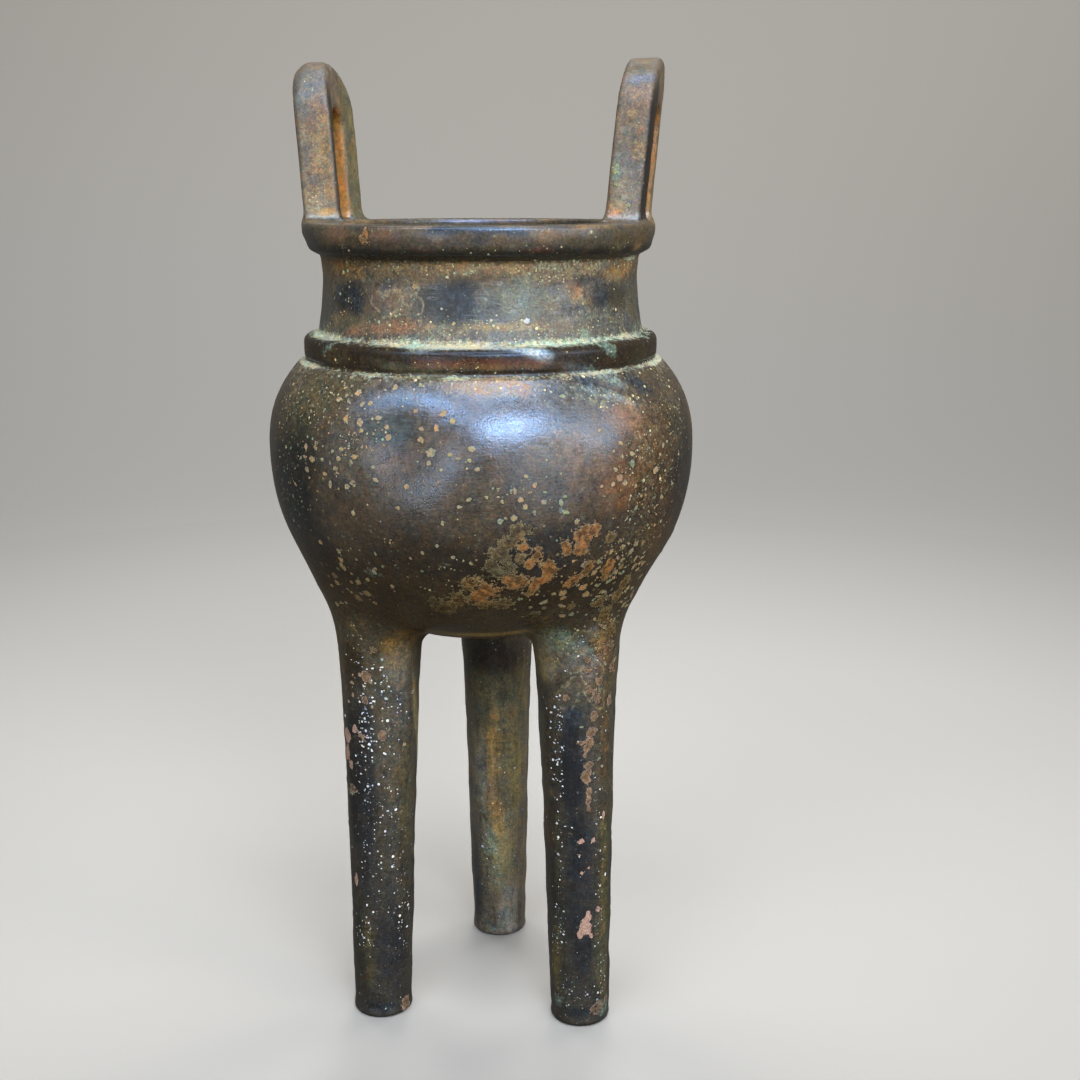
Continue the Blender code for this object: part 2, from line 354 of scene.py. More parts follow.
def surface_net():
    """Vertices (mm) and quads of the zero surface of solid_distance."""
    nt, nr, nz = THETA_STEPS, len(R_LINES), len(Z_LINES)
    theta = np.arange(nt) * (math.tau / nt)
    ct, st = np.cos(theta)[:, None, None], np.sin(theta)[:, None, None]
    x = ct * R_LINES[None, :, None] + np.zeros((1, 1, nz))
    y = st * R_LINES[None, :, None] + np.zeros((1, 1, nz))
    z = np.zeros((nt, nr, 1)) + Z_LINES[None, None, :]
    f = solid_distance(x.ravel(), y.ravel(), z.ravel()).reshape(nt, nr, nz)
    del x, y, z
    wrapped = np.concatenate([f, f[:1]], axis=0)
    inside = wrapped < 0.0
    corners = [(a, b, c) for a in (0, 1) for b in (0, 1) for c in (0, 1)]
    count = np.zeros((nt, nr - 1, nz - 1), np.int8)
    for a, b, c in corners:
        count += inside[a:a + nt, b:b + nr - 1, c:c + nz - 1]
    active = (count > 0) & (count < 8)
    j, i, k = np.nonzero(active)
    ids = np.full(active.shape, -1, np.int64)
    ids[j, i, k] = np.arange(len(j))
    vals = {(a, b, c): wrapped[j + a, i + b, k + c] for a, b, c in corners}
    total = np.zeros((len(j), 3))
    hits = np.zeros(len(j))
    for p in corners:
        for axis in range(3):
            if p[axis]:
                continue
            q = list(p)
            q[axis] = 1
            fa, fb = vals[p], vals[tuple(q)]
            cut = (fa < 0) != (fb < 0)
            t = np.where(cut, fa / np.where(cut, fa - fb, 1.0), 0.0)
            place = np.array(p, float)[None, :] + np.zeros((len(j), 3))
            place[:, axis] = t
            total += np.where(cut[:, None], place, 0.0)
            hits += cut
    local = total / hits[:, None]
    tt = (j + local[:, 0]) * (math.tau / nt)
    rr = R_LINES[i] * (1 - local[:, 1]) + R_LINES[i + 1] * local[:, 1]
    zz = Z_LINES[k] * (1 - local[:, 2]) + Z_LINES[k + 1] * local[:, 2]
    verts = np.stack([rr * np.cos(tt), rr * np.sin(tt), zz], 1)

    quads = []

    def emit(a, b, c, d, flip):
        ok = (a >= 0) & (b >= 0) & (c >= 0) & (d >= 0)
        q = np.stack([a, b, c, d], 1)[ok]
        flip = flip[ok]
        q[flip] = q[flip][:, ::-1]
        quads.append(q)

    # edges along r
    fa, fb = inside[:nt, :-1, :], inside[:nt, 1:, :]
    jj, ii, kk = np.nonzero((fa != fb)[:, :, 1:-1])
    kk = kk + 1
    jm = (jj - 1) % nt
    emit(ids[jm, ii, kk - 1], ids[jj, ii, kk - 1], ids[jj, ii, kk], ids[jm, ii, kk],
         ~fa[jj, ii, kk])
    # edges along theta
    fa, fb = inside[:nt], inside[1:nt + 1]
    jj, ii, kk = np.nonzero((fa != fb)[:, 1:-1, 1:-1])
    ii, kk = ii + 1, kk + 1
    emit(ids[jj, ii - 1, kk - 1], ids[jj, ii - 1, kk], ids[jj, ii, kk], ids[jj, ii, kk - 1],
         ~fa[jj, ii, kk])
    # edges along z
    fa, fb = inside[:nt, :, :-1], inside[:nt, :, 1:]
    jj, ii, kk = np.nonzero((fa != fb)[:, 1:-1, :])
    ii = ii + 1
    jm = (jj - 1) % nt
    emit(ids[jm, ii - 1, kk], ids[jm, ii, kk], ids[jj, ii, kk], ids[jj, ii - 1, kk],
         ~fa[jj, ii, kk])
    return verts, np.concatenate(quads)


def settle(verts, steps=5):
    """Moves points onto the surface; returns them with their unit normals."""
    eps = 0.06
    for n in range(steps + 1):
        x, y, z = verts.T
        grad = np.empty_like(verts)
        for axis in range(3):
            d = np.zeros(3)
            d[axis] = eps
            grad[:, axis] = (solid_distance(x + d[0], y + d[1], z + d[2])
                             - solid_distance(x - d[0], y - d[1], z - d[2])) / (2 * eps)
        size = np.maximum(np.linalg.norm(grad, axis=1), 0.3)
        normal = grad / size[:, None]
        if n == steps:
            return verts, normal
        f = solid_distance(x, y, z)
        verts = verts - normal * np.clip(f / size, -0.5, 0.5)[:, None]
    return verts, normal


def zip_rings(a, ta, b, tb, flip):
    """Triangles between two closed rings given by ids and angles (ascending)."""
    tris = []
    na, nb = len(a), len(b)
    i = k = 0
    turn = math.tau
    start = int(np.argmin(np.abs((tb - ta[0] + math.pi) % turn - math.pi)))
    b = np.roll(b, -start)
    tb = np.roll(tb, -start)
    tb = ta[0] + ((tb - ta[0] + math.pi) % turn - math.pi)
    for n in range(1, nb):
        while tb[n] < tb[n - 1]:
            tb[n] += turn
    ta = ta.copy()
    while i < na or k < nb:
        next_a = ta[i + 1] if i + 1 < na else ta[0] + turn
        next_b = tb[k + 1] if k + 1 < nb else tb[0] + turn
        if k >= nb or (i < na and next_a <= next_b):
            tris.append((a[i % na], a[(i + 1) % na], b[k % nb]))
            i += 1
        else:
            tris.append((a[i % na], b[(k + 1) % nb], b[k % nb]))
            k += 1
    tris = np.array(tris, np.int64)
    return tris[:, ::-1] if flip else tris


def ring_of(verts, faces, wanted):
    """The boundary vertices that pass a test, sorted by angle."""
    edges = np.concatenate([faces[:, [0, 1]], faces[:, [1, 2]], faces[:, [2, 3]],
                            faces[:, [3, 0]]])
    key = np.sort(edges, 1)
    _, index, count = np.unique(key[:, 0] * 1000003 + key[:, 1], return_index=True,
                                return_counts=True)
    lone = np.unique(edges[index[count == 1]])
    lone = lone[wanted(verts[lone])]
    angle = np.arctan2(verts[lone, 1], verts[lone, 0])
    order = np.argsort(angle)
    return lone[order], angle[order]


def resample(outline, start, step):
    """Points along an (r, z) outline from a start height down to the axis."""
    pts = np.array(outline)
    first = np.nonzero(pts[:, 1] < start)[0][0]
    pts = np.concatenate([[[np.interp(start, pts[first - 1:first + 1, 1][::-1],
                                      pts[first - 1:first + 1, 0][::-1]), start]], pts[first:]])
    run = np.concatenate([[0.0], np.cumsum(np.hypot(*np.diff(pts, axis=0).T))])
    places = []
    at = 0.0
    while at < run[-1]:
        places.append(at)
        at += step
    places = np.array(places)
    return np.stack([np.interp(places, run, pts[:, 0]), np.interp(places, run, pts[:, 1])], 1)


def casting_mesh():
    """Vertices, unit normals, quads and triangles; the last value marks the inside."""
    verts, quads = surface_net()
    used = np.ones(len(quads), bool)
    mid = verts[quads].mean(axis=1)
    used &= ~((np.hypot(mid[:, 0], mid[:, 1]) < 33.0) & (mid[:, 2] < BORE_CUT + 0.5)
              & (mid[:, 2] > 170.0))
    quads = quads[used]
    keep = np.zeros(len(verts), bool)
    keep[quads.ravel()] = True
    renumber = np.cumsum(keep) - 1
    verts, quads = verts[keep], renumber[quads]
    verts, normals = settle(verts)

    tris = []
    inner = np.zeros(len(verts), bool)

    def ring(points, norms, inside):
        nonlocal verts, normals, inner
        ids = np.arange(len(verts), len(verts) + len(points))
        verts = np.concatenate([verts, points])
        normals = np.concatenate([normals, norms])
        inner = np.concatenate([inner, np.full(len(points), inside)])
        return ids

    # the middle of the underside
    ids, angle = ring_of(verts, quads, lambda v: (np.hypot(v[:, 0], v[:, 1]) < 16) & (v[:, 2] < 99))
    radius = float(np.hypot(verts[ids, 0], verts[ids, 1]).mean())
    n = THETA_STEPS // 2
    rad = radius - 1.0
    while rad > 0.5:
        ta = (np.arange(n) + 0.5) * math.tau / n - math.pi
        pts = np.stack([rad * np.cos(ta), rad * np.sin(ta),
                        np.full(n, BELLY_Z - BELLY_DROP + 0.3)], 1)
        pts, norms = settle(pts, 4)
        new = ring(pts, norms, False)
        tris.append(zip_rings(ids, angle, new, ta, True))
        ids, angle = new, ta
        spacing = rad * math.tau / n
        rad -= min(1.3, max(0.8, spacing * 1.1))
        if n % 2 == 0 and n > 5 and math.tau * rad / n < 0.72:
            n //= 2
    tip, tip_n = settle(np.array([[0.0, 0.0, BELLY_Z - BELLY_DROP]]), 2)
    new = ring(tip, tip_n, False)
    tris.append(np.stack([np.roll(ids, -1), ids, np.full(len(ids), new[0])], 1))

    # the inside of the bowl, below the fine surface of the neck
    ids, angle = ring_of(verts, quads, lambda v: (np.hypot(v[:, 0], v[:, 1]) < 34) & (v[:, 2] > 170))
    start = float(verts[ids, 2].mean())
    path = resample(hollow_outline(), start - 1.3, 1.75)
    n = THETA_STEPS // 2
    for k, (rad, z) in enumerate(path):
        if rad < 1.0:
            break
        while n % 2 == 0 and n > 5 and math.tau * rad / n < 1.0:
            n //= 2
        ta = (np.arange(n) + 0.5) * math.tau / n - math.pi
        ahead = path[min(k + 1, len(path) - 1)] - path[max(k - 1, 0)]
        ahead /= np.linalg.norm(ahead)
        # the outline runs down and inwards, so this points into the hollow
        nr, nz = ahead[1], -ahead[0]
        pts = np.stack([rad * np.cos(ta), rad * np.sin(ta), np.full(n, z)], 1)
        norms = np.stack([nr * np.cos(ta), nr * np.sin(ta), np.full(n, nz)], 1)
        new = ring(pts, norms, True)
        tris.append(zip_rings(ids, angle, new, ta, False))
        ids, angle = new, ta
    new = ring(np.array([[0.0, 0.0, BELLY_Z - BELLY_DROP + FLOOR]]), np.array([[0.0, 0.0, 1.0]]),
               True)
    tris.append(np.stack([ids, np.roll(ids, -1), np.full(len(ids), new[0])], 1))
    return verts, normals, quads, np.concatenate(tris), inner


def faces_outwards(verts, normals, faces):
    p = verts[faces]
    if faces.shape[1] == 4:
        n = np.cross(p[:, 2] - p[:, 0], p[:, 3] - p[:, 1])
    else:
        n = np.cross(p[:, 1] - p[:, 0], p[:, 2] - p[:, 0])
    wrong = (n * normals[faces].mean(axis=1)).sum(axis=1) < 0
    faces = faces.copy()
    faces[wrong] = faces[wrong][:, ::-1]
    return faces


# -------------------------------------------------------------------- noise
def lattice(i, j, k, seed):
    h = (i * 374761393 + j * 668265263 + k * 1274126177 + seed * 974711) & 0xFFFFFFFF
    h = ((h ^ (h >> 13)) * 1103515245) & 0xFFFFFFFF
    h = ((h ^ (h >> 16)) * 2246822519) & 0xFFFFFFFF
    return ((h ^ (h >> 15)) & 0xFFFFFF) / float(0xFFFFFF) * 2.0 - 1.0


def value_noise(p, size, seed):
    """Smooth noise of -1 to 1 whose features are about `size` mm."""
    q = p / size
    base = np.floor(q).astype(np.int64)
    f = q - base
    f = f * f * f * (f * (f * 6 - 15) + 10)
    out = np.zeros(len(p))
    for a in (0, 1):
        for b in (0, 1):
            for c in (0, 1):
                w = ((f[:, 0] if a else 1 - f[:, 0]) * (f[:, 1] if b else 1 - f[:, 1])
                     * (f[:, 2] if c else 1 - f[:, 2]))
                out += w * lattice(base[:, 0] + a, base[:, 1] + b, base[:, 2] + c, seed)
    return out


def fractal(p, size, seed, octaves=3, fall=0.5):
    out, gain, total = np.zeros(len(p)), 1.0, 0.0
    for n in range(octaves):
        out += gain * value_noise(p + 37.0 * n, size / 2 ** n, seed + 17 * n)
        total += gain
        gain *= fall
    return out / total


def smoothstep(lo, hi, v):
    t = np.clip((v - lo) / (hi - lo), 0.0, 1.0)
    return t * t * (3 - 2 * t)


# ------------------------------------------------------------- placed marks
class Sight:
    """Finds where a point of the camera's frame (1080 wide) lies on the casting."""

    def __init__(self, verts, faces):
        from mathutils.bvhtree import BVHTree
        self.tree = BVHTree.FromPolygons([tuple(v) for v in verts], [tuple(f) for f in faces])
        self.place, self.ahead, self.right, self.up = camera_basis()

    def at(self, u, v):
        ray = (self.ahead + self.right * ((u - 540.0) / CAM_FOCAL)
               + self.up * ((540.0 - v) / CAM_FOCAL))
        ray /= np.linalg.norm(ray)
        hit, normal, _, far = self.tree.ray_cast(Vector(self.place), Vector(ray))
        if hit is None:
            return None
        p, n = np.array(hit), np.array(normal)
        return p, n, (far * float(ray @ self.ahead)) / CAM_FOCAL, -float(n @ ray)

    def around(self, azimuth, z, reach=80.0):
        """The outside of the casting at an azimuth (degrees) and a height."""
        a = math.radians(azimuth)
        start = Vector((reach * math.cos(a), reach * math.sin(a), z))
        hit, normal, _, _ = self.tree.ray_cast(start, Vector((-math.cos(a), -math.sin(a), 0.0)))
        if hit is None:
            return None
        return np.array(hit), np.array(normal)


def lay_spots(rows, centres, normals):
    """Give each face the spot that reaches it most. A row is place, normal,
    side axis over half width, other axis over half height, hue, strength."""
    tree = mathutils.kdtree.KDTree(len(rows))
    for n, row in enumerate(rows):
        tree.insert(row[0], n)
    tree.balance()
    mids = np.array([r[0] for r in rows])
    ways = np.array([r[1] for r in rows])
    firsts, seconds = np.array([r[2] for r in rows]), np.array([r[3] for r in rows])
    tones = np.array([(r[4], r[5]) for r in rows])
    pick = np.array([[found[1] for found in tree.find_n(c, 5)] for c in centres.tolist()])
    best, least = np.zeros(len(centres), int), np.full(len(centres), 1e9)
    for column in pick.T:
        q = centres - mids[column]
        far = np.sqrt((q * firsts[column]).sum(1) ** 2 + (q * seconds[column]).sum(1) ** 2)
        far = np.where((normals * ways[column]).sum(1) > 0.2, far, 1e6)
        # the distance from the face's own edge counts, not that of its middle
        far -= 0.35 * np.linalg.norm(firsts[column], axis=1)
        closer = far < least
        best[closer], least[closer] = column[closer], far[closer]
    tone = tones[best].copy()
    tone[least > 1e5] = 0.0
    return mids[best], firsts[best], seconds[best], tone[:, 0], tone[:, 1]


class Marks:
    """Ellipses on the surface, and the nearest one to each vertex."""

    def __init__(self, count):
        self.level = np.full(count, -1.0)
        self.vector = np.zeros((count, 3))
        self.vector[:] = (4.0, 0.0, 0.0)
        self.hue = np.zeros(count)
        self.gap = np.full(count, 3.0)

    def add(self, verts, normals, p, n, wide, tall, turn=0.0, hue=0.5, side=None):
        side = np.array([1.0, 0.0, 0.0]) if side is None else side
        t1 = side - n * float(side @ n)
        if np.linalg.norm(t1) < 0.2:
            t1 = np.cross([0.0, 0.0, 1.0], n)
        t1 /= np.linalg.norm(t1)
        t2 = np.cross(n, t1)
        c, s = math.cos(math.radians(turn)), math.sin(math.radians(turn))
        t1, t2 = t1 * c + t2 * s, t2 * c - t1 * s
        reach = max(wide, tall) * 2.3 + 2.0
        near = np.nonzero((np.abs(verts - p) < reach).all(axis=1))[0]
        near = near[(normals[near] @ n) > -0.1]
        q = verts[near] - p
        v = np.stack([q @ t1 / wide, q @ t2 / tall, q @ n / max(wide, tall)], 1)
        level = np.maximum(1.0 - np.linalg.norm(v, axis=1), -1.0)
        better = level > self.level[near]
        ids = near[better]
        self.level[ids] = level[better]
        self.vector[ids] = v[better]
        self.hue[ids] = hue
        self.gap[ids] = np.minimum(-level[better] * math.sqrt(wide * tall), 3.0)


def srgb(r, g, b):
    """A colour given as it looks on screen, 0 to 255, as linear light."""
    out = []
    for c in (r, g, b):
        c /= 255.0
        out.append(c / 12.92 if c <= 0.04045 else ((c + 0.055) / 1.055) ** 2.4)
    return np.array(out)


# ------------------------------------------------------------------ palette
TINTS = {
    "umber": srgb(92, 79, 62), "darkumber": srgb(62, 52, 40), "black": srgb(30, 25, 22),
    "olivebrown": srgb(98, 88, 62), "olive": srgb(112, 104, 66), "darkolive": srgb(70, 65, 46),
    "olivegrey": srgb(116, 110, 82), "slate": srgb(58, 56, 56), "slateblue": srgb(56, 60, 63),
    "grey": srgb(108, 105, 98), "greytan": srgb(128, 115, 98), "tan": srgb(142, 119, 86),
    "pinkbrown": srgb(134, 107, 88), "lavender": srgb(120, 114, 118), "teal": srgb(102, 108, 100),
    "ochre": srgb(142, 113, 66), "lit_rust_orange": srgb(176, 120, 46), "rust": srgb(118, 90, 58),
    "red": srgb(108, 64, 44), "orangepink": srgb(178, 126, 88), "turq": srgb(108, 122, 104),
    "greybrown": srgb(98, 90, 74), "sheen": srgb(112, 112, 110), "painted_glint_blue": srgb(122, 124, 150), "pale": srgb(176, 162, 118), "patina_and_sheen_green": srgb(122, 130, 120),
    "frost_and_glint": srgb(186, 204, 216), "steel": srgb(150, 162, 172), "mauve": srgb(124, 106, 102),
    "dent_shade_slate": srgb(64, 72, 66), "chalk": srgb(160, 154, 142),
}

# Broad colours on the side that the camera sees: place and half widths in
# pixels of the camera's frame, colour, strength. Some rows are painted
# light and shade (painted highlights, sheen, reflections and shade), as
# said for each part below.
BROAD = (
    # left ear; the pale rows at its top are painted sheen on its shoulder, and the narrow orange rows down the
    # slot are its rusty wall, painted bright as painted light
    (322, 140, 30, 85, "greytan", 0.95), (306, 96, 14, 26, "sheen", 0.8), (312, 76, 20, 12, "sheen", 0.7),
    (318, 108, 11, 14, "pinkbrown", 0.8), (322, 165, 13, 34, "tan", 0.6),
    (318, 190, 12, 14, "pinkbrown", 0.5), (327, 212, 24, 5, "ochre", 0.6), (322, 192, 16, 14, "tan", 0.7), (322, 196, 16, 20, "chalk", 0.3),
    (357, 150, 9, 70, "olivegrey", 0.8), (341, 150, 3.5, 46, "lit_rust_orange", 1.0),
    (340, 190, 4, 26, "lit_rust_orange", 0.9),
    # right ear; the blue-white row near its top is a painted highlight on its shoulder, and the narrow tan row
    # down its outer edge is a painted lit edge
    (634, 140, 26, 85, "greytan", 0.95), (636, 150, 26, 70, "lavender", 0.5), (640, 105, 16, 24, "pinkbrown", 0.75), (636, 130, 20, 60, "greybrown", 0.3),
    (642, 68, 20, 8, "olivebrown", 0.8), (626, 180, 16, 26, "grey", 0.7),
    (614, 213, 12, 5, "orangepink", 0.9), (640, 150, 12, 14, "tan", 0.6),
    (630, 120, 7, 9, "ochre", 0.5), (640, 78, 18, 5, "painted_glint_blue", 0.9), (622, 150, 7, 8, "grey", 0.6), (640, 128, 6, 8, "orangepink", 0.4),
    (620, 196, 8, 6, "tan", 0.5), (626, 186, 12, 24, "steel", 0.12), (638, 74, 16, 8, "steel", 0.3), (632, 200, 8, 8, "lavender", 0.5),
    (652, 165, 3.5, 55, "darkumber", 0.9), (657.5, 168, 2.2, 50, "tan", 0.9),
    # left ear again: small patches; the lavender one at its shoulder is a painted highlight, and the narrow
    # orange one is the slot wall, painted bright as painted light
    (310, 125, 7, 9, "pinkbrown", 0.6), (325, 150, 6, 9, "ochre", 0.5), (315, 172, 7, 8, "orangepink", 0.35),
    (304, 150, 6, 12, "grey", 0.6), (328, 190, 6, 8, "tan", 0.6), (320, 76, 9, 12, "lavender", 0.7),
    (338, 150, 3.4, 52, "lit_rust_orange", 0.9), (352, 100, 7, 16, "tan", 0.5),
    # rim; the thin blue-white row along its top edge is a painted highlight
    (306, 238, 8, 18, "slate", 0.6), (332, 234, 20, 10, "tan", 0.5), (335, 234, 14, 9, "pinkbrown", 0.8), (380, 238, 30, 9, "pinkbrown", 0.7), (540, 236, 60, 8, "greytan", 0.5),
    (352, 240, 12, 8, "umber", 0.6), (390, 232, 16, 6, "pinkbrown", 0.7),
    (434, 238, 12, 8, "grey", 0.9), (458, 236, 10, 8, "umber", 0.7), (480, 238, 14, 8, "slate", 0.6),
    (590, 234, 14, 8, "grey", 0.9), (510, 240, 20, 8, "greybrown", 0.8), (548, 236, 18, 8, "tan", 0.4),
    (620, 242, 14, 12, "olivebrown", 0.8), (640, 242, 10, 14, "rust", 0.6),
    (480, 243, 150, 4, "lavender", 0.3), (385, 245, 14, 6, "darkumber", 0.6), (540, 250, 18, 4, "red", 0.5), (420, 249, 18, 4, "red", 0.35),
    (480, 227, 160, 4.0, "slateblue", 0.95), (480, 221, 150, 2.4, "painted_glint_blue", 0.5),
    # neck; the grey-green patch in its middle is patina with a painted sheen over it
    (348, 300, 22, 22, "slate", 0.95), (350, 300, 18, 18, "black", 0.4),
    (452, 302, 34, 27, "slateblue", 0.95), (458, 303, 20, 27, "black", 1.0), (436, 300, 14, 24, "slateblue", 0.7), (425, 300, 12, 22, "slate", 0.7), (448, 318, 16, 10, "black", 0.5),
    (470, 288, 12, 12, "slate", 0.6), (520, 300, 42, 22, "patina_and_sheen_green", 0.8), (495, 300, 10, 20, "slateblue", 0.4),
    (395, 298, 26, 19, "lavender", 0.75), (398, 300, 20, 15, "mauve", 0.5), (402, 302, 20, 16, "greytan", 0.7), (372, 300, 12, 16, "pinkbrown", 0.5),
    (425, 276, 20, 7, "tan", 0.6), (560, 280, 30, 7, "pinkbrown", 0.4),
    (576, 290, 9, 10, "orangepink", 0.6), (591, 303, 7, 9, "ochre", 0.7), (600, 300, 10, 16, "slate", 0.8), (572, 312, 10, 8, "slate", 0.6),
    (618, 296, 16, 18, "darkolive", 0.7), (633, 305, 6, 20, "olive", 0.6),
    (566, 306, 22, 18, "chalk", 0.4), (560, 312, 22, 12, "greytan", 0.6), (345, 322, 24, 8, "olivegrey", 0.6),
    (400, 326, 34, 9, "orangepink", 0.5), (395, 330, 30, 6, "orangepink", 0.5), (340, 316, 16, 8, "tan", 0.5),
    (490, 328, 40, 7, "rust", 0.5), (545, 326, 36, 7, "tan", 0.6), (345, 268, 20, 8, "rust", 0.6),
    (440, 268, 60, 6, "rust", 0.5), (600, 270, 30, 7, "ochre", 0.5), (598, 268, 30, 8, "chalk", 0.4), (345, 268, 24, 8, "ochre", 0.4), (365, 329, 40, 7, "orangepink", 0.4),
    # band; the pale blue-white row along its top edge is a painted highlight
    (495, 347.5, 90, 3.0, "frost_and_glint", 0.95), (480, 364, 130, 6, "red", 0.7), (480, 367, 130, 4, "rust", 0.6), (490, 352, 40, 4, "black", 0.6), (330, 355, 22, 10, "olivebrown", 0.5),
    (640, 356, 18, 10, "darkolive", 0.6),
    # belly; the black and dark rows down its left and right edges and over its
    # underside are painted shade and painted dark reflection, the sheen and pale
    # grey rows on its upper left are painted sheen, the blue-white rows on its
    # upper right are frosty dust with a painted highlight, and the slate-green
    # row in the big dent is painted shade
    (345, 455, 50, 40, "grey", 0.3), (395, 398, 70, 14, "sheen", 0.5),
    (312, 400, 44, 36, "olivebrown", 0.75), (492, 385, 74, 12, "pinkbrown", 0.55), (520, 380, 30, 6, "tan", 0.5),
    (652, 460, 46, 70, "rust", 0.8), (625, 420, 34, 34, "rust", 0.5), (630, 418, 28, 24, "orangepink", 0.4),
    (664, 525, 26, 44, "rust", 0.75), (676, 470, 12, 26, "darkumber", 0.5),
    (290, 470, 30, 84, "darkolive", 0.85), (290, 500, 34, 90, "black", 0.75), (320, 560, 40, 50, "darkumber", 0.4), (320, 560, 40, 50, "black", 0.5), (380, 585, 50, 34, "black", 0.3), (685, 500, 22, 70, "black", 0.4), (390, 428, 36, 26, "dent_shade_slate", 0.75), (400, 462, 40, 16, "mauve", 0.35),
    (560, 400, 60, 18, "grey", 0.4), (430, 480, 60, 40, "umber", 0.5),
    (440, 560, 96, 34, "darkumber", 0.75), (550, 500, 60, 30, "umber", 0.6),
    (480, 510, 26, 50, "greybrown", 0.4), (610, 590, 40, 26, "darkumber", 0.5),
    (545, 560, 70, 34, "slate", 0.75), (560, 590, 60, 26, "black", 0.5), (490, 585, 50, 20, "black", 0.5),
    (620, 565, 30, 30, "black", 0.4), (400, 400, 60, 8, "slateblue", 0.5),
    (676, 462, 50, 95, "black", 0.55), (284, 450, 50, 100, "black", 0.35), (326, 565, 20, 30, "black", 0.2),
    (336, 466, 20, 26, "grey", 0.3), (617, 490, 20, 36, "orangepink", 0.3), (604, 379, 44, 8, "frost_and_glint", 0.22),
    (484, 636, 70, 6, "pale", 1.0), (425, 640, 22, 8, "pale", 0.7), (350, 600, 30, 26, "umber", 0.6),
    (588, 381, 18, 9, "slateblue", 0.7), (637, 382, 21, 9, "slateblue", 0.7), (600, 398, 40, 12, "teal", 0.4), (616, 396, 36, 7, "frost_and_glint", 0.3), (565, 450, 50, 30, "greytan", 0.7), (590, 470, 30, 40, "pinkbrown", 0.4), (412, 372, 70, 5, "olivegrey", 0.5),
    # left leg; the black rows down its left side are painted shade, and the slate and black stripes down it are a
    # painted reflection
    (405, 640, 22, 20, "ochre", 0.6), (398, 665, 20, 26, "chalk", 0.55), (398, 660, 16, 20, "ochre", 0.35), (388, 646, 14, 12, "ochre", 0.5),
    (352, 664, 16, 40, "darkumber", 0.8), (352, 780, 8, 110, "black", 0.78), (398, 760, 15, 76, "greybrown", 0.9),
    (402, 700, 12, 40, "sheen", 0.6), (417, 720, 3, 80, "pale", 0.6), (416, 850, 2.5, 90, "olivegrey", 0.7),
    (364, 760, 16, 90, "slate", 0.8), (364, 760, 14, 100, "black", 0.52), (398, 740, 10, 40, "chalk", 0.08), (408, 800, 8, 90, "olivegrey", 0.6),
    (362, 850, 14, 50, "slate", 0.8), (396, 860, 16, 60, "greybrown", 0.6),
    (392, 950, 18, 60, "slate", 0.85), (360, 950, 9, 60, "darkolive", 0.8),
    (370, 960, 6, 50, "olive", 0.5), (380, 1008, 30, 8, "slate", 0.9),
    (357, 660, 10, 24, "black", 0.3), (358, 730, 14, 40, "black", 0.3), (403, 940, 8, 50, "black", 0.25),
    # rear leg
    (500, 700, 40, 90, "olivegrey", 0.85), (500, 658, 34, 26, "darkumber", 0.85),
    (493, 740, 10, 56, "ochre", 0.5), (517, 780, 9, 80, "olive", 0.6),
    (481, 770, 7, 50, "grey", 0.6), (500, 850, 24, 60, "olivegrey", 0.9),
    (498, 822, 12, 34, "ochre", 0.35), (476, 880, 6, 50, "slate", 0.85),
    (510, 905, 12, 34, "sheen", 0.7), (490, 795, 9, 26, "tan", 0.4),
    # right leg; the slate and black stripes down it are a painted reflection
    (556, 640, 26, 18, "turq", 0.75), (588, 662, 20, 26, "lavender", 0.8), (547, 658, 13, 28, "chalk", 0.85), (550, 652, 10, 22, "ochre", 0.4), (580, 656, 22, 22, "chalk", 0.2), (600, 630, 14, 20, "chalk", 0.5), (546, 662, 12, 26, "pale", 0.3), (543, 631, 16, 10, "olive", 0.6),
    (566, 664, 18, 20, "sheen", 0.8), (606, 640, 9, 46, "pinkbrown", 0.9), (575, 690, 20, 12, "grey", 0.6),
    (572, 770, 22, 90, "slate", 0.95), (570, 780, 14, 60, "black", 0.3), (580, 860, 20, 70, "slate", 0.95), (574, 800, 20, 130, "black", 0.4),
    (582, 940, 18, 50, "slate", 0.9), (547, 790, 7, 110, "umber", 0.7),
    (606, 740, 6, 60, "rust", 0.6), (609, 700, 4, 70, "olivebrown", 0.8), (606, 880, 7, 110, "olive", 0.8),
    (556, 960, 9, 46, "olive", 0.75), (604, 975, 7, 34, "olivegrey", 0.8),
    (556, 870, 8, 50, "darkolive", 0.6), (555, 770, 12, 90, "black", 0.3), (538, 658, 12, 26, "pale", 0.45),
    (602, 940, 8, 46, "olivegrey", 0.7), (580, 1014, 30, 7, "slateblue", 0.8),
)

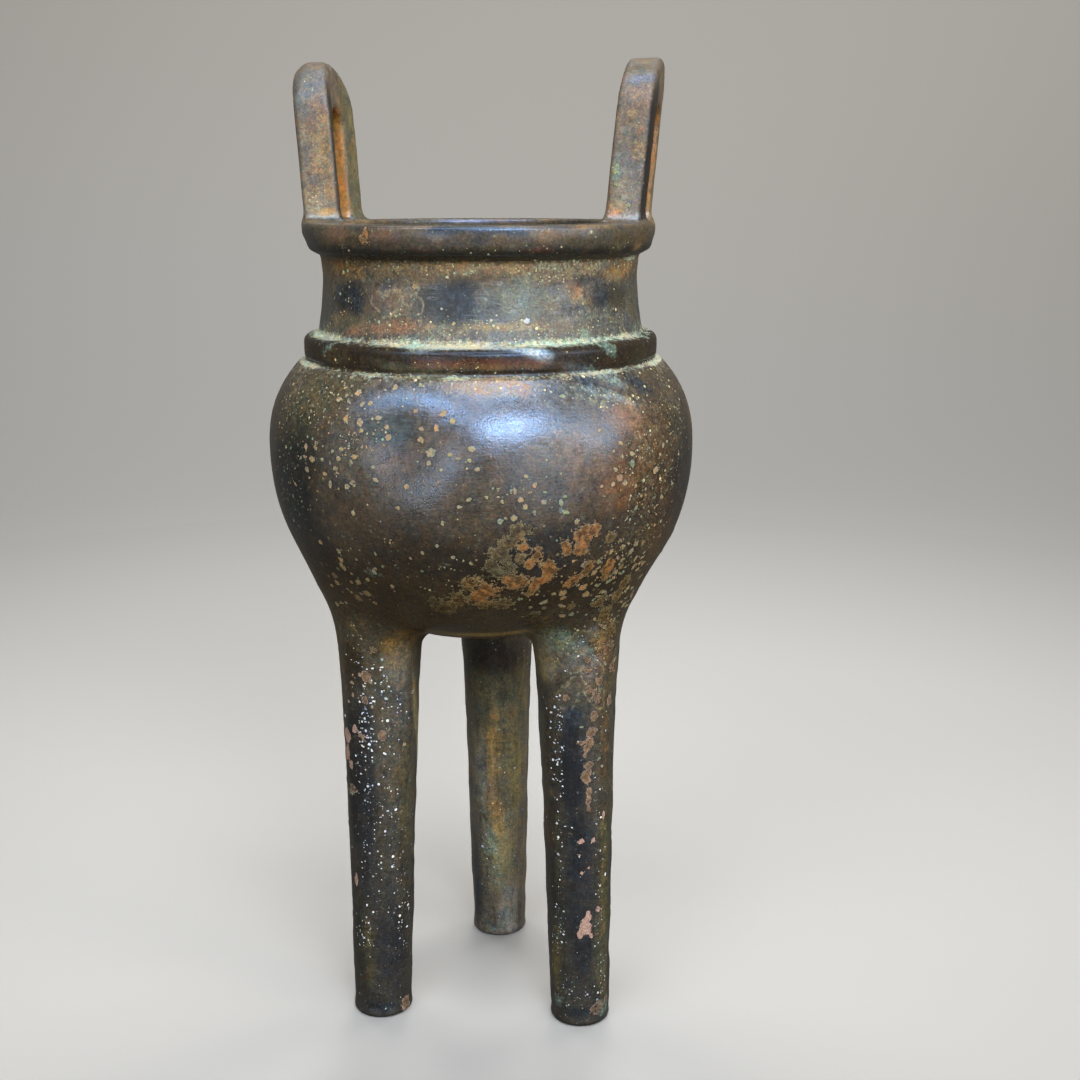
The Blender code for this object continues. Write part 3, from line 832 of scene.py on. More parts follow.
# Corrosion crust: place and half widths in pixels, turn, hue (0 cream and
# olive, 1 orange).
CRUST = (
    (519, 533, 12, 8, 20, 0.43), (508, 543, 9, 7, 0, 0.3), (500, 556, 11, 9, 0, 0.2), (523, 547, 6, 7, 0, 0.8),
    (518, 559, 7, 6, 0, 0.5), (492, 567, 8, 6, 0, 0.3), (527, 530, 6, 4, 0, 0.2),
    (486, 591, 11, 8, 10, 1), (470, 584, 13, 7, 15, 0.6), (444, 607, 12, 8, 5, 0.3), (478, 597, 10, 7, 0, 0.9), (434, 602, 6, 5, 0, 0.2),
    (458, 600, 9, 7, 0, 0.45), (518, 584, 13, 8, -10, 0.85), (502, 604, 12, 5, 0, 0.35), (530, 592, 7, 5, 0, 0.7),
    (498, 573, 11, 7, -20, 0.3), (511, 567, 7, 5, 0, 0.4), (485, 605, 10, 5, 0, 0.55), (506, 579, 8, 5, 0, 0.7),
    (537, 556, 5, 12, -25, 0.98), (530, 565, 6, 5, 0, 0.98), (549, 569, 7, 10, 30, 0.98),
    (543, 580, 12, 4, 5, 1), (533, 588, 7, 6, 0, 0.88),
    (583, 534, 9, 8, 0, 1), (593, 531, 8, 8, 0, 1), (566, 548, 5, 9, 10, 1),
    (582, 548, 8, 9, 20, 1), (572, 582, 9, 5, 40, 0.88), (588, 569, 5, 9, -30, 0.78),
    (609, 567, 6, 8, 10, 0.93), (605, 578, 4, 5, 0, 0.78), (612, 537, 6, 6, 0, 0.68),
    (598, 604, 8, 4, 8, 0.43), (534, 615, 6, 3, 0, 0.2), (572, 607, 5, 3, 0, 0.38),
    (625, 583, 5, 8, -30, 0.53), (617, 597, 5, 7, -20, 0.53),
    (605, 615, 6, 9, -15, 0.5), (611, 630, 5, 7, 0, 0.5), (603, 638, 4, 7, 0, 0.55),
    (594, 642, 5, 4, 0, 0.35), (612, 645, 3, 6, 0, 0.4), (600, 652, 4, 3, 0, 0.3),
    (588, 660, 3, 4, 0, 0.55), (566, 698, 4, 3, 0, 0.5), (597, 697, 4, 8, 15, 0.55),
    (600, 682, 4, 5, 0, 0.6), (588, 671, 4, 3, 0, 0.6), (589, 690, 2.5, 4, 0, 0.5),
    (595, 716, 4, 6, -10, 0.6), (593, 733, 5, 5, 0, 0.6), (590, 744, 5, 9, -12, 0.65),
    (581, 743, 4, 2, 0, 0.6), (585, 757, 2, 3, 0, 0.6),
    (590, 765, 4, 3, 0, 0.6), (587, 776, 4.5, 7, -10, 0.62), (579, 777, 2.5, 1.6, 30, 0.7),
    (590, 793, 3, 5, 8, 0.6), (588, 803, 3, 3, 0, 0.6),
    (590, 811, 2.4, 1.6, 0, 0.7), (611, 700, 2.4, 8, 0, 0.6), (613, 668, 3, 6, 0, 0.5),
    (373, 651, 4.5, 4.5, 0, 0.3), (366, 677, 4, 6, 20, 0.45), (365, 700, 3, 4, 0, 0.35),
    (382, 736, 4, 5, 0, 0.45), (362, 737, 6, 2.6, -30, 0.5), (351, 788, 4, 4, 0, 0.3),
    (407, 1003, 4, 7, 0, 0.45), (597, 1008, 6, 7, -20, 0.25), (606, 1000, 3, 4, 0, 0.3),
    (365, 235, 3, 6, 0, 1.3), (361, 240, 3, 4, 20, 1.3), (369, 243, 3, 2, 0, 1.3),
)

# Tan patches with a thin pale outline.
HALOS = (
    (386, 290, 8, 9, 0), (394, 300, 9, 10, 0), (402, 288, 8, 8, 0), (409, 297, 8, 9, 0),
    (400, 309, 12, 7, 0), (386, 309, 9, 8, 0), (417, 306, 7, 9, 0), (377, 300, 7, 9, 0),
    (413, 288, 6, 6, 0), (566, 698, 11, 12, 0), (594, 692, 8, 14, 10), (577, 686, 10, 9, 0),
    (584, 640, 14, 10, 0), (598, 672, 7, 9, 0),
    (572, 662, 14, 12, 0), (590, 668, 10, 9, 0), 
    (566, 650, 12, 8, 0),
    (600, 700, 7, 12, 10),
)

# Places where thin wavy pale lines run across: place, half widths, amount.
WAVES = (
    (516, 298, 44, 20, 1.0), (470, 318, 20, 8, 0.6), (560, 308, 24, 14, 0.6), (430, 292, 12, 14, 0.5),
    (440, 372, 60, 4, 0.5), (640, 300, 8, 20, 0.4), (480, 505, 24, 12, 0.35),
)

# Soft dusty films of ochre and orange: place, half widths, amount.
FILMS = (
    (480, 268, 170, 9, 0.58), (480, 326, 170, 7, 0.7), (400, 300, 26, 20, 0.35),
    (583, 296, 14, 16, 0.6), (560, 300, 26, 18, 0.25), (345, 270, 26, 10, 0.8), (620, 272, 26, 12, 0.8),
    (300, 400, 30, 50, 0.3), (492, 385, 84, 14, 0.75), (655, 460, 34, 80, 0.4),
    (640, 400, 40, 24, 0.3), (405, 640, 24, 14, 0.6), (480, 636, 70, 7, 0.9),
    (350, 620, 24, 24, 0.3), (540, 620, 24, 12, 0.5), (612, 560, 26, 30, 0.25),
    (493, 740, 10, 60, 0.5), (498, 822, 12, 34, 0.35), (515, 860, 8, 50, 0.25),
    (398, 760, 14, 80, 0.3), (606, 720, 7, 70, 0.5), (604, 870, 7, 100, 0.4),
    (548, 760, 6, 90, 0.35), (555, 960, 8, 46, 0.5), (368, 950, 7, 46, 0.4),
    (325, 150, 18, 60, 0.4), (328, 212, 24, 6, 0.9), (636, 130, 16, 40, 0.45),
    (616, 205, 14, 10, 0.8), (357, 150, 9, 60, 0.4), (350, 240, 22, 10, 0.4),
    (640, 246, 16, 12, 0.6), (420, 252, 40, 5, 0.2), (585, 250, 40, 6, 0.4),
    (360, 655, 16, 20, 0.25), (395, 690, 14, 30, 0.3), (600, 640, 12, 26, 0.5),
)

# Turquoise and grey-blue dust: place, half widths, amount.
BLUES = (
    (556, 640, 26, 20, 0.7), (584, 652, 22, 20, 0.55), (490, 842, 9, 24, 0.9),
    (497, 870, 16, 40, 0.6), (484, 800, 6, 40, 0.6), (616, 172, 7, 18, 0.9),
    (604, 1006, 10, 14, 0.8), (556, 1000, 8, 14, 0.6), (612, 378, 40, 12, 0.6),
    (566, 508, 14, 14, 0.5), (545, 520, 16, 10, 0.3), (372, 572, 14, 12, 0.45),
    (520, 300, 50, 20, 0.3), (400, 345, 60, 4, 0.3), (600, 343, 40, 5, 0.8),
    (330, 345, 20, 5, 0.7), (640, 335, 16, 6, 0.8), (380, 1010, 26, 6, 0.4),
    (490, 925, 20, 8, 0.5), (510, 910, 10, 26, 0.45), (628, 195, 14, 16, 0.5), (352, 740, 8, 30, 0.3), (560, 265, 50, 8, 0.5),
)

# Bare copper-pink places where the skin has chipped off.
CHIPS = (
    (346, 736, 4, 8, 0), (354, 729, 3, 5, -20), (346, 752, 3, 8, 0), (350, 765, 2.5, 5, 0),
    (581, 842, 4, 3, 10), (594, 841, 2.6, 4, 0), (586, 927, 6, 9, 10), (589, 916, 3.2, 6, 10),
    (580, 935, 4, 4, 0), (592, 936, 3, 3, 0), (599, 909, 2.6, 4, 10), (580, 857, 1.8, 1.8, 0),
    (589, 868, 1.6, 1.6, 0), (582, 874, 2.4, 1.2, 0), (381, 838, 2.6, 2.6, 0),
    (605, 815, 1.6, 6, 0), (355, 880, 2, 7, 0),
)

# Dark blue-black places.
DARK = (
    (352, 300, 10, 13, 0), (455, 305, 18, 18, 0), (585, 279, 9, 6, 0), (601, 292, 8, 14, 0),
    (574, 310, 16, 6, 0), (586, 378, 16, 6, 0), (596, 386, 14, 5, 0), (636, 382, 19, 8, 0),
    (626, 374, 10, 4, 0), (462, 318, 14, 8, 0), (312, 242, 7, 14, 0),
    (570, 716, 12, 8, 0), (584, 662, 6, 4, 0), (478, 895, 5, 22, 0), 
)

# Single spots: place and half widths in pixels, turn, hue (0 pale and
# greenish, 0.5 tan, 1 orange).
SPOTS = (
    (358, 392, 3.2, 3, 0, 0.7), (362, 403, 3, 2.2, 20, 0.6), (346, 418, 5, 4, 30, 0.85),
    (358, 422, 3, 5, 0, 0.7), (359, 430, 2.6, 3, 0, 0.6), (352, 434, 2.4, 2.6, 0, 0.6),
    (376, 417, 3.2, 3, 0, 0.7), (384, 437, 3.5, 3.4, 0, 0.8), (384, 426, 2.8, 2.4, 0, 0.4),
    (395, 386, 3.2, 2.8, 30, 0.4), (443, 413, 4, 3.6, 0, 0.5), (452, 421, 3.4, 3, 0, 0.25),
    (419, 428, 2.6, 2.4, 0, 0.7), (418, 439, 3.4, 3.4, 0, 0.7), (435, 428, 3.4, 3.2, 0, 0.9),
    (429, 453, 5.6, 4.4, 20, 0.45), (427, 464, 3, 2.6, 0, 0.45), (472, 449, 3.8, 3.2, 0, 0.2),
    (450, 455, 2.6, 3, 0, 0.2), (458, 459, 2.4, 2.2, 0, 0.2), (469, 461, 2.6, 2.4, 0, 0.2),
    (477, 470, 3.2, 2.6, 0, 0.3), (405, 488, 2.8, 2.8, 0, 0.8), (350, 483, 3.2, 2.4, 0, 0.6),
    (345, 487, 3.4, 3, 0, 0.5), (328, 485, 2, 4.4, 0, 0.5), (373, 481, 2.6, 2.4, 0, 0.5),
    (352, 457, 3, 2.8, 0, 0.6), (337, 459, 2.6, 2.6, 0, 0.5), (311, 459, 3, 3.2, 0, 0.5),
    (315, 446, 2.6, 4.2, 0, 0.7), (305, 447, 2, 3, 0, 0.5), (306, 470, 2.4, 3, 0, 0.5),
    (323, 474, 2.6, 2.6, 0, 0.5), (334, 469, 2.6, 2.8, 0, 0.5), (370, 468, 2.2, 2, 0, 0.6),
    (352, 514, 2.4, 2.4, 0, 0.3), (397, 509, 2, 2, 0, 0.5), (390, 542, 2, 2.4, 0, 0.4),
    (442, 524, 2.2, 2.2, 0, 0.3), (514, 492, 3.8, 3.4, 0, 0.35), (521, 501, 3.4, 3, 0, 0.4),
    (525, 508, 2.8, 3.2, 0, 0.4), (536, 486, 2.6, 2.8, 0, 0.4), (526, 477, 2.6, 2.4, 0, 0.3),
    (531, 493, 2, 2, 0, 0.2), (545, 503, 3, 2.4, 20, 0.3), (459, 508, 3.6, 2.2, 0, 0.25),
    (469, 500, 3.4, 2, 10, 0.3), (487, 498, 1.8, 1.6, 0, 0.2), (498, 490, 2.2, 2.2, 0, 0.3),
    (503, 503, 2, 2, 0, 0.2), (562, 504, 2.6, 4.2, 0, 0.1), (567, 513, 3.4, 2.6, 0, 0.0),
    (567, 497, 2.2, 2, 0, 0.1), (500, 522, 3.4, 2.8, 0, 0.15), (514, 519, 3.6, 3.2, 0, 0.35),
    (578, 522, 3, 3, 0, 0.5), (535, 513, 2.2, 2.2, 0, 0.2), (633, 454, 3.2, 3, 0, 0.3),
    (623, 457, 2, 2, 0, 0.5), (626, 483, 3, 2.6, 0, 0.35), (614, 485, 2.4, 2.2, 0, 0.3),
    (621, 443, 2, 2.4, 0, 0.4), (601, 430, 2.2, 2.2, 0, 0.3), (622, 542, 3.4, 3, 0, 0.3),
    (632, 552, 3.4, 2.4, 20, 0.3), (612, 552, 3, 2.6, 0, 0.4), (623, 561, 2.6, 2.4, 0, 0.3),
    (628, 578, 3.4, 2.6, 40, 0.3), (638, 570, 2.6, 2, 0, 0.3), (636, 560, 3, 2, 40, 0.3),
    (342, 567, 5, 3.2, -35, 0.3), (338, 552, 2.2, 2.4, 0, 0.3), (358, 583, 3, 4, -20, 0.35),
    (367, 594, 4.4, 4, -35, 0.35), (374, 573, 3, 3, 0, 0.05), (320, 543, 2.2, 2.4, 0, 0.4),
    (392, 587, 2.2, 2.2, 0, 0.3), (337, 605, 2.2, 3, 0, 0.3), (375, 604, 3, 2, -30, 0.3),
    (422, 554, 2.2, 2, 0, 0.3), (453, 558, 2.4, 1.8, 0, 0.25), (437, 547, 1.8, 1.8, 0, 0.2),
    (471, 564, 1.8, 1.6, 0, 0.2), (564, 396, 3, 2.4, 0, 0.05), (420, 384, 2.4, 2.4, 0, 0.15),
    (527, 321, 5.0, 4.6, 0, -0.3),
    (617, 165, 2.2, 2, 0, 0.0), (615, 172, 2.6, 2, 0, 0.0), (616, 184, 2, 1.8, 0, 0.0),
    (628, 205, 2.4, 1.8, 0, 0.0), (582, 728, 1.8, 1.4, 0, 0.0),
    # left leg
    (358, 663, 1.5, 1.5, 0, -0.4), (367, 677, 3.2, 3.8, 20, 0.6), (359, 675, 1.8, 2.8, 20, 0.6),
    (370, 682, 2.6, 2.4, 0, 0.2), (351, 683, 2.2, 2.0, 0, 0.5), (364, 687, 2.4, 2.0, 0, -0.4),
    (363, 694, 1.8, 2.0, 0, -0.4), (365, 699, 2.6, 2.4, 0, -0.3), (352, 695, 1.4, 2.4, 0, 0.3),
    (348, 702, 1.5, 1.6, 0, 0.2), (386, 700, 2.4, 2.4, 0, -0.3), (382, 692, 1.8, 2.8, 0, -1.0),
    (389, 687, 2.4, 1.5, -30, -0.6), (381, 683, 1.5, 1.5, 0, -0.5), (384, 676, 1.3, 1.3, 0, -0.5),
    (382, 668, 2.6, 1.3, 0, -0.6), (382, 660, 2.0, 2.4, 0, -0.3), (366, 710, 1.7, 1.7, 0, -1.0),
    (364, 719, 1.8, 1.8, 0, -1.0), (365, 731, 1.8, 2.6, 0, -1.0), (367, 738, 2.6, 1.8, 20, -1.0),
    (369, 745, 2.4, 2.6, 0, -1.0), (363, 747, 1.6, 1.6, 0, -1.0), (371, 751, 1.8, 1.6, 0, -0.6),
    (355, 756, 1.4, 1.4, 0, -0.6), (365, 757, 1.8, 1.2, 0, -1.0), (385, 754, 2.8, 1.6, -45, -0.8),
    (382, 736, 3.4, 4.4, 0, 0.4), (372, 707, 1.6, 2.2, 0, 0.2), (392, 707, 1.3, 1.3, 0, -0.5),
    (401, 704, 1.5, 1.4, 0, -0.5), (407, 712, 1.3, 1.3, 0, -0.5), (398, 712, 1.2, 1.2, 0, -0.6),
    (405, 745, 1.6, 1.5, 0, 0.4), (414, 692, 1.4, 2.4, 0, 0.1), (344, 716, 1.2, 2.6, 0, -0.8),
    (357, 732, 4.5, 1.6, -50, 0.5), (350, 792, 3.0, 3.2, 0, 0.1), (360, 774, 1.4, 1.8, 0, -1.0),
    (372, 786, 1.3, 1.3, 0, -0.8), (383, 778, 1.2, 1.2, 0, -0.8), (392, 792, 1.4, 1.2, 0, -0.8),
    (366, 906, 1.6, 2.2, 0, -1.0), (373, 913, 1.6, 1.6, 0, -0.8), (368, 924, 1.4, 1.6, 0, -1.0),
    (409, 905, 1.2, 2.0, 0, -0.9), (408, 927, 1.1, 1.8, 0, -0.9), (363, 938, 1.6, 1.4, 0, -0.8),
    # right leg
    (554, 708, 2.0, 2.2, 0, -1.0), (550, 713, 1.5, 1.5, 0, -1.0), (545, 708, 1.2, 1.2, 0, -0.8),
    (550, 722, 1.3, 1.3, 0, -1.0), (559, 716, 1.2, 1.2, 0, -1.0), (549, 728, 1.3, 1.3, 0, -1.0),
    (553, 743, 1.2, 1.2, 0, -1.0), (549, 738, 1.2, 1.2, 0, -0.8), (554, 752, 1.5, 1.5, 0, -1.0),
    (552, 760, 1.8, 1.6, 0, -1.0), (556, 765, 1.8, 1.8, 0, -1.0), (550, 768, 1.5, 1.4, 0, -1.0),
    (561, 773, 1.5, 1.4, 0, -1.0), (552, 780, 1.5, 1.5, 0, -1.0), (562, 787, 1.2, 1.2, 0, -0.8),
    (560, 797, 1.3, 1.3, 0, -0.9), (557, 812, 1.3, 1.5, 0, -0.9), (565, 827, 1.8, 1.0, 0, -0.8),
    (557, 839, 1.4, 1.5, 0, -0.9), (572, 828, 1.2, 1.2, 0, -0.7), (579, 857, 1.5, 1.7, 0, -0.6),
    (557, 855, 1.3, 1.4, 0, -0.9), (559, 880, 1.2, 1.4, 0, -0.9), (556, 905, 1.2, 1.4, 0, -0.9),
    (563, 935, 1.3, 1.3, 0, -0.8), (602, 1006, 4.0, 3.0, 0, 0.0), (598, 1000, 2.0, 2.0, 0, -0.3),
)

# Showers of small spots: place and half widths in pixels, number, smallest and
# largest half width in pixels, hue.
SHOWERS = (
    (620, 572, 26, 38, 80, 0.9, 2.8, 0.35), (606, 614, 16, 22, 34, 0.9, 2.8, 0.3),
    (560, 606, 50, 13, 24, 0.9, 2.8, 0.3), (585, 560, 34, 28, 26, 0.8, 2.0, 0.7),
    (524, 505, 34, 22, 22, 0.8, 2.0, 0.25), (352, 425, 38, 40, 26, 0.8, 2.0, 0.6),
    (330, 468, 36, 26, 24, 0.8, 2.2, 0.5), (352, 578, 36, 30, 26, 0.8, 2.4, 0.3),
    (655, 455, 26, 70, 34, 0.6, 1.4, 0.3), (640, 520, 22, 50, 30, 0.8, 1.9, 0.4),
    (300, 430, 24, 70, 30, 0.5, 1.2, 0.2), (470, 470, 70, 40, 24, 0.5, 1.3, 0.3),
    (440, 560, 60, 30, 20, 0.5, 1.4, 0.3), (606, 650, 12, 40, 22, 0.8, 2.2, 0.4),
    (366, 700, 8, 50, 26, 0.6, 1.7, -0.8), (362, 770, 8, 40, 14, 0.5, 1.3, -0.8),
    (556, 750, 6, 60, 22, 0.5, 1.2, -0.9), (345, 300, 20, 24, 5, 0.5, 1.0, 0.2),
    (604, 628, 11, 26, 34, 0.9, 2.4, 0.45), (575, 655, 26, 26, 40, 0.5, 1.3, -0.2),
    (470, 328, 130, 5, 40, 0.5, 1.3, 0.2), (470, 266, 130, 5, 30, 0.5, 1.3, 0.3),
    (606, 305, 24, 20, 8, 0.6, 1.2, 0.0),
)

# How thickly small loose spots and fine specks lie: place, half widths, amount.
SPOTTED = (
    (335, 420, 40, 60, 0.45), (330, 470, 36, 40, 0.45), (640, 470, 46, 80, 0.55),
    (610, 575, 40, 36, 1.0), (560, 590, 60, 26, 0.55), (525, 500, 40, 30, 0.35),
    (350, 585, 40, 36, 0.5), (420, 400, 40, 30, 0.15), (600, 600, 24, 20, 1.0),
    (450, 560, 60, 30, 0.12), (400, 290, 30, 20, 0.4), (600, 640, 20, 60, 0.6),
    (366, 690, 18, 46, 0.7), (362, 760, 14, 60, 0.5), (385, 840, 26, 60, 0.15),
    (595, 560, 60, 30, 0.7), (625, 590, 20, 30, 1.0), (604, 640, 14, 40, 0.9), (598, 760, 10, 50, 0.35),
    (480, 440, 40, 30, 0.25), (560, 540, 40, 30, 0.3), (385, 560, 30, 30, 0.12),
)
SPECKED = (
    (300, 400, 40, 60, 0.75), (290, 480, 24, 80, 0.6), (345, 420, 50, 50, 0.4),
    (660, 440, 40, 90, 0.6), (676, 420, 18, 70, 0.9), (640, 540, 40, 60, 0.7),
    (430, 268, 130, 8, 1.2), (345, 300, 26, 34, 0.35), (560, 272, 70, 10, 1.3),
    (600, 396, 46, 14, 0.75), (355, 388, 50, 14, 0.6), (600, 315, 36, 16, 0.75), (480, 327, 150, 9, 1.3), (400, 318, 60, 12, 0.6),
    (520, 250, 90, 8, 0.35), (620, 248, 26, 8, 0.6), (350, 252, 30, 6, 0.5),
    (365, 740, 14, 90, 0.8), (388, 790, 20, 70, 0.4), (380, 700, 30, 50, 0.35),
    (370, 850, 26, 60, 0.35), (400, 860, 14, 60, 0.45), (405, 920, 8, 50, 0.8),
    (365, 935, 14, 24, 0.9), (375, 880, 26, 60, 0.3), (558, 745, 7, 60, 1.0), (365, 735, 10, 40, 1.0), (388, 740, 22, 70, 0.4),
    (557, 850, 7, 80, 0.75), (557, 930, 9, 50, 0.7), (600, 870, 10, 120, 0.35),
    (604, 980, 8, 30, 0.8), (565, 990, 20, 24, 0.5), (500, 800, 26, 80, 0.25),
    (490, 850, 16, 40, 0.7), (620, 180, 12, 20, 0.7), (320, 200, 20, 20, 0.4),
    (310, 80, 14, 20, 0.4), (560, 640, 26, 26, 0.6), (360, 640, 24, 40, 0.4),
    (450, 380, 120, 20, 0.35), (492, 387, 76, 13, 1.1), (655, 470, 34, 80, 0.6), (500, 580, 120, 40, 0.3), (480, 636, 60, 6, 0.7),
)


def ellipse(verts, normals, place, wide, tall, turn=0.0, side=None):
    """How far each vertex is from the middle of an ellipse laid on the surface."""
    p, n = place
    side = np.array([1.0, 0.0, 0.0]) if side is None else side
    t1 = side - n * float(side @ n)
    if np.linalg.norm(t1) < 0.2:
        t1 = np.cross([0.0, 0.0, 1.0], n)
    t1 /= np.linalg.norm(t1)
    t2 = np.cross(n, t1)
    c, s = math.cos(math.radians(turn)), math.sin(math.radians(turn))
    t1, t2 = t1 * c + t2 * s, t2 * c - t1 * s
    q = verts - p
    deep = max(min(wide, tall) * 1.2, 4.0)
    e = np.sqrt((q @ t1 / wide) ** 2 + (q @ t2 / tall) ** 2 + (q @ n / deep) ** 2)
    return np.where(normals @ n > -0.2, e, 9.0)


# How dark the skin is, by height in mm: partly the casting's own tone and partly painted light and shade, darker
# under the rim, on the belly's underside and at the ears' tops to make up for how the lamps fall.
TONE_AND_SHADE_Z = (0.0, 60.0, 88.0, 94.0, 104.0, 118.0, 132.0, 146.0, 157.0, 164.0, 172.0, 182.0, 188.0,
          192.0, 204.0, 222.0)
TONE_AND_SHADE = (0.38, 0.39, 0.45, 0.46, 0.36, 0.37, 0.49, 0.54, 0.51, 0.43, 0.41, 0.36, 0.54,
        0.54, 0.50, 0.44)


def paint(verts, normals, inner, sight):
    rng = np.random.default_rng(20261)
    count = len(verts)
    x, y, z = verts.T
    r = np.hypot(x, y)
    mid = fractal(verts, 7.0, 5, 3)
    low = fractal(verts, 16.0, 9, 2)
    seen_side = sight.right

    # the default colour of each zone
    tint = np.zeros((count, 3)) + TINTS["umber"]

    def blend(weight, name):
        nonlocal tint
        w = np.clip(weight, 0.0, 1.0)[:, None]
        tint = tint * (1 - w) + TINTS[name] * w

    blend(smoothstep(112.0, 96.0, z + 3 * mid), "greybrown")
    blend(smoothstep(60.0, 30.0, z + 9 * low) * 0.5, "slate")
    blend(smoothstep(157.2, 158.6, z) * (z < 164.6), "darkumber")
    blend(smoothstep(164.0, 165.2, z), "grey")
    blend(smoothstep(174.0, 178.5, z + 2 * mid) * 0.8, "tan")
    blend(smoothstep(180.2, 181.2, z), "greybrown")
    # painted shade: the lower half of the rim's roll, which faces down, is painted near black
    blend(smoothstep(180.2, 181.0, z) * smoothstep(184.2, 182.6, z + 0.5 * mid) * 0.75, "black")
    blend(smoothstep(188.2, 190.0, z), "greytan")
    blend(smoothstep(186.6, 187.2, z) * (z < 188.2) * smoothstep(-0.1, 0.35, mid) * 0.7, "tan")
    blend(smoothstep(186.6, 187.2, z) * (z < 188.2) * smoothstep(0.1, -0.3, low) * 0.5, "slate")

    # sides that the camera doesn't see: the same colours, in a plainer mix
    to_eye = sight.place - verts
    to_eye /= np.linalg.norm(to_eye, axis=1)[:, None]
    hidden = smoothstep(0.12, -0.12, (normals * to_eye).sum(axis=1))
    hidden[(z < 93) & (y > 12) & (y < 44)] *= 1.0
    belly_names = ("rust", "olivebrown", "slate", "darkumber", "pinkbrown", "umber", "rust",
                   "olivebrown", "greybrown", "darkumber")
    for n in range(46):
        azimuth = rng.uniform(0, 360)
        height = rng.uniform(100, 157)
        wide, tall = rng.uniform(9, 22), rng.uniform(7, 16)
        name = belly_names[rng.integers(len(belly_names))]
        got = sight.around(azimuth, height)
        if got is None:
            continue
        e = ellipse(verts, normals, got, wide, tall, 0.0, np.array([-math.sin(math.radians(azimuth)),
                    math.cos(math.radians(azimuth)), 0.0])) + 0.35 * mid
        blend(smoothstep(1.0, 0.25, e) * hidden * rng.uniform(0.4, 0.8), name)
    neck_names = ("slateblue", "teal", "tan", "olive", "ochre", "slate", "tan")
    for n in range(22):
        azimuth, height = rng.uniform(0, 360), rng.uniform(166, 179)
        got = sight.around(azimuth, height)
        if got is None:
            continue
        e = ellipse(verts, normals, got, rng.uniform(4, 9), rng.uniform(3, 6), 0.0,
                    np.array([-math.sin(math.radians(azimuth)), math.cos(math.radians(azimuth)),
                              0.0])) + 0.35 * mid
        blend(smoothstep(1.0, 0.3, e) * hidden * 0.75 * (z > 164) * (z < 181),
              neck_names[rng.integers(len(neck_names))])
    leg_names = ("slate", "olive", "ochre", "umber", "greybrown", "turq", "slate", "olivegrey")
    for n in range(54):
        azimuth = LEG_AZIMUTHS[n % 3]
        height = rng.uniform(4, 96)
        a = math.radians(azimuth)
        face = rng.uniform(0, math.tau)
        centre = np.array([27.0 * math.cos(a), 27.0 * math.sin(a), height])
        out = np.array([math.cos(face), math.sin(face), 0.0])
        place = centre + out * 8.5
        e = ellipse(verts, normals, (place, out), rng.uniform(3, 7), rng.uniform(8, 24), 0.0,
                    np.array([-out[1], out[0], 0.0])) + 0.35 * mid
        blend(smoothstep(1.0, 0.3, e) * hidden * 0.75 * (z < 99),
              leg_names[rng.integers(len(leg_names))])

    def at(u, v, wide, tall):
        got = sight.at(u, v)
        if got is None:
            return None
        p, n, px, facing = got
        across = abs(float(n @ sight.right))
        upward = abs(float(n @ sight.up))
        wide = wide * px / max(0.45, math.sqrt(max(0.0, 1 - across * across)))
        tall = tall * px / max(0.45, math.sqrt(max(0.0, 1 - upward * upward)))
        return (p, n), wide, tall

    for u, v, wide, tall, name, strength in BROAD:
        got = at(u, v, wide, tall)
        if got is None:
            continue
        place, wide, tall = got
        e = ellipse(verts, normals, place, wide, tall, 0.0, sight.right) + 0.3 * mid + 0.1 * low
        blend(smoothstep(1.08, 0.35, e) * strength * (1 - 0.8 * hidden), name)

    for ear, turned in zip(EARS, (1.0, -1.0)):
        # the slot walls are painted a bright rusty orange, partly their own colour and partly painted light; the
        # strip next to the seen side is painted dark as painted shade
        s, h, depth = ear_local(x, y, z, ear)
        mine = (h > 0.8) & (x * turned > 0)
        half = ear[3] / 2
        wall = mine * smoothstep(half - 0.1, half - 0.9, np.abs(depth)) * (
            np.abs(s) < SLOT_HALF_WIDTH + 1.5) * (h < SLOT_TOP + 1.5)
        strip = mine * smoothstep(half - 1.0, half - 0.3, depth * turned)
        blend(strip * smoothstep(-3.0, -4.6, s * turned) * smoothstep(32.0, 24.0, h + 3 * mid)
              * (1 - hidden) * 0.9, "black")
        blend(strip * smoothstep(3.0, 4.6, s * turned) * 0.8, "tan" if turned > 0 else "olivegrey")
        blend(wall * (0.92 - 0.5 * hidden), "lit_rust_orange")

    # painted light and shade by height, laid over the zones' own colours
    tint = tint * np.interp(z, TONE_AND_SHADE_Z, TONE_AND_SHADE)[:, None]

    # the inside: dull and sooty, with ash in the bottom
    # painted light: the rear leg stands in the others' shade, so its seen side is painted paler, more so low down
    rear_painted_light = (1.0 + (0.4 + 2.0 * smoothstep(80.0, 35.0, z)) * (1 - hidden)) * ((y > 14) & (z < 92))
    tint = tint * np.maximum(rear_painted_light, 1.0)[:, None]
    blend(inner * 1.0, "darkumber")
    blend(inner * smoothstep(125.0, 100.0, z + 4 * mid) * 0.7, "greybrown")
    blend(inner * smoothstep(0.1, 0.5, low) * 0.5, "olivebrown")

    # marks
    crust, chips, dark, halos = Marks(count), Marks(count), Marks(count), Marks(count)
    halos2 = Marks(count)
    for layer, rows in ((crust, CRUST), (chips, CHIPS), (dark, DARK), (halos, HALOS[::2]),
                        (halos2, HALOS[1::2])):
        for row in rows:
            u, v, wide, tall, turn = row[:5]
            got = at(u, v, wide, tall)
            if got is None:
                continue
            (p, n), wide, tall = got
            layer.add(verts, normals, p, n, wide, tall, turn, row[5] if len(row) > 5 else 0.5,
                      sight.right)

    spots = []

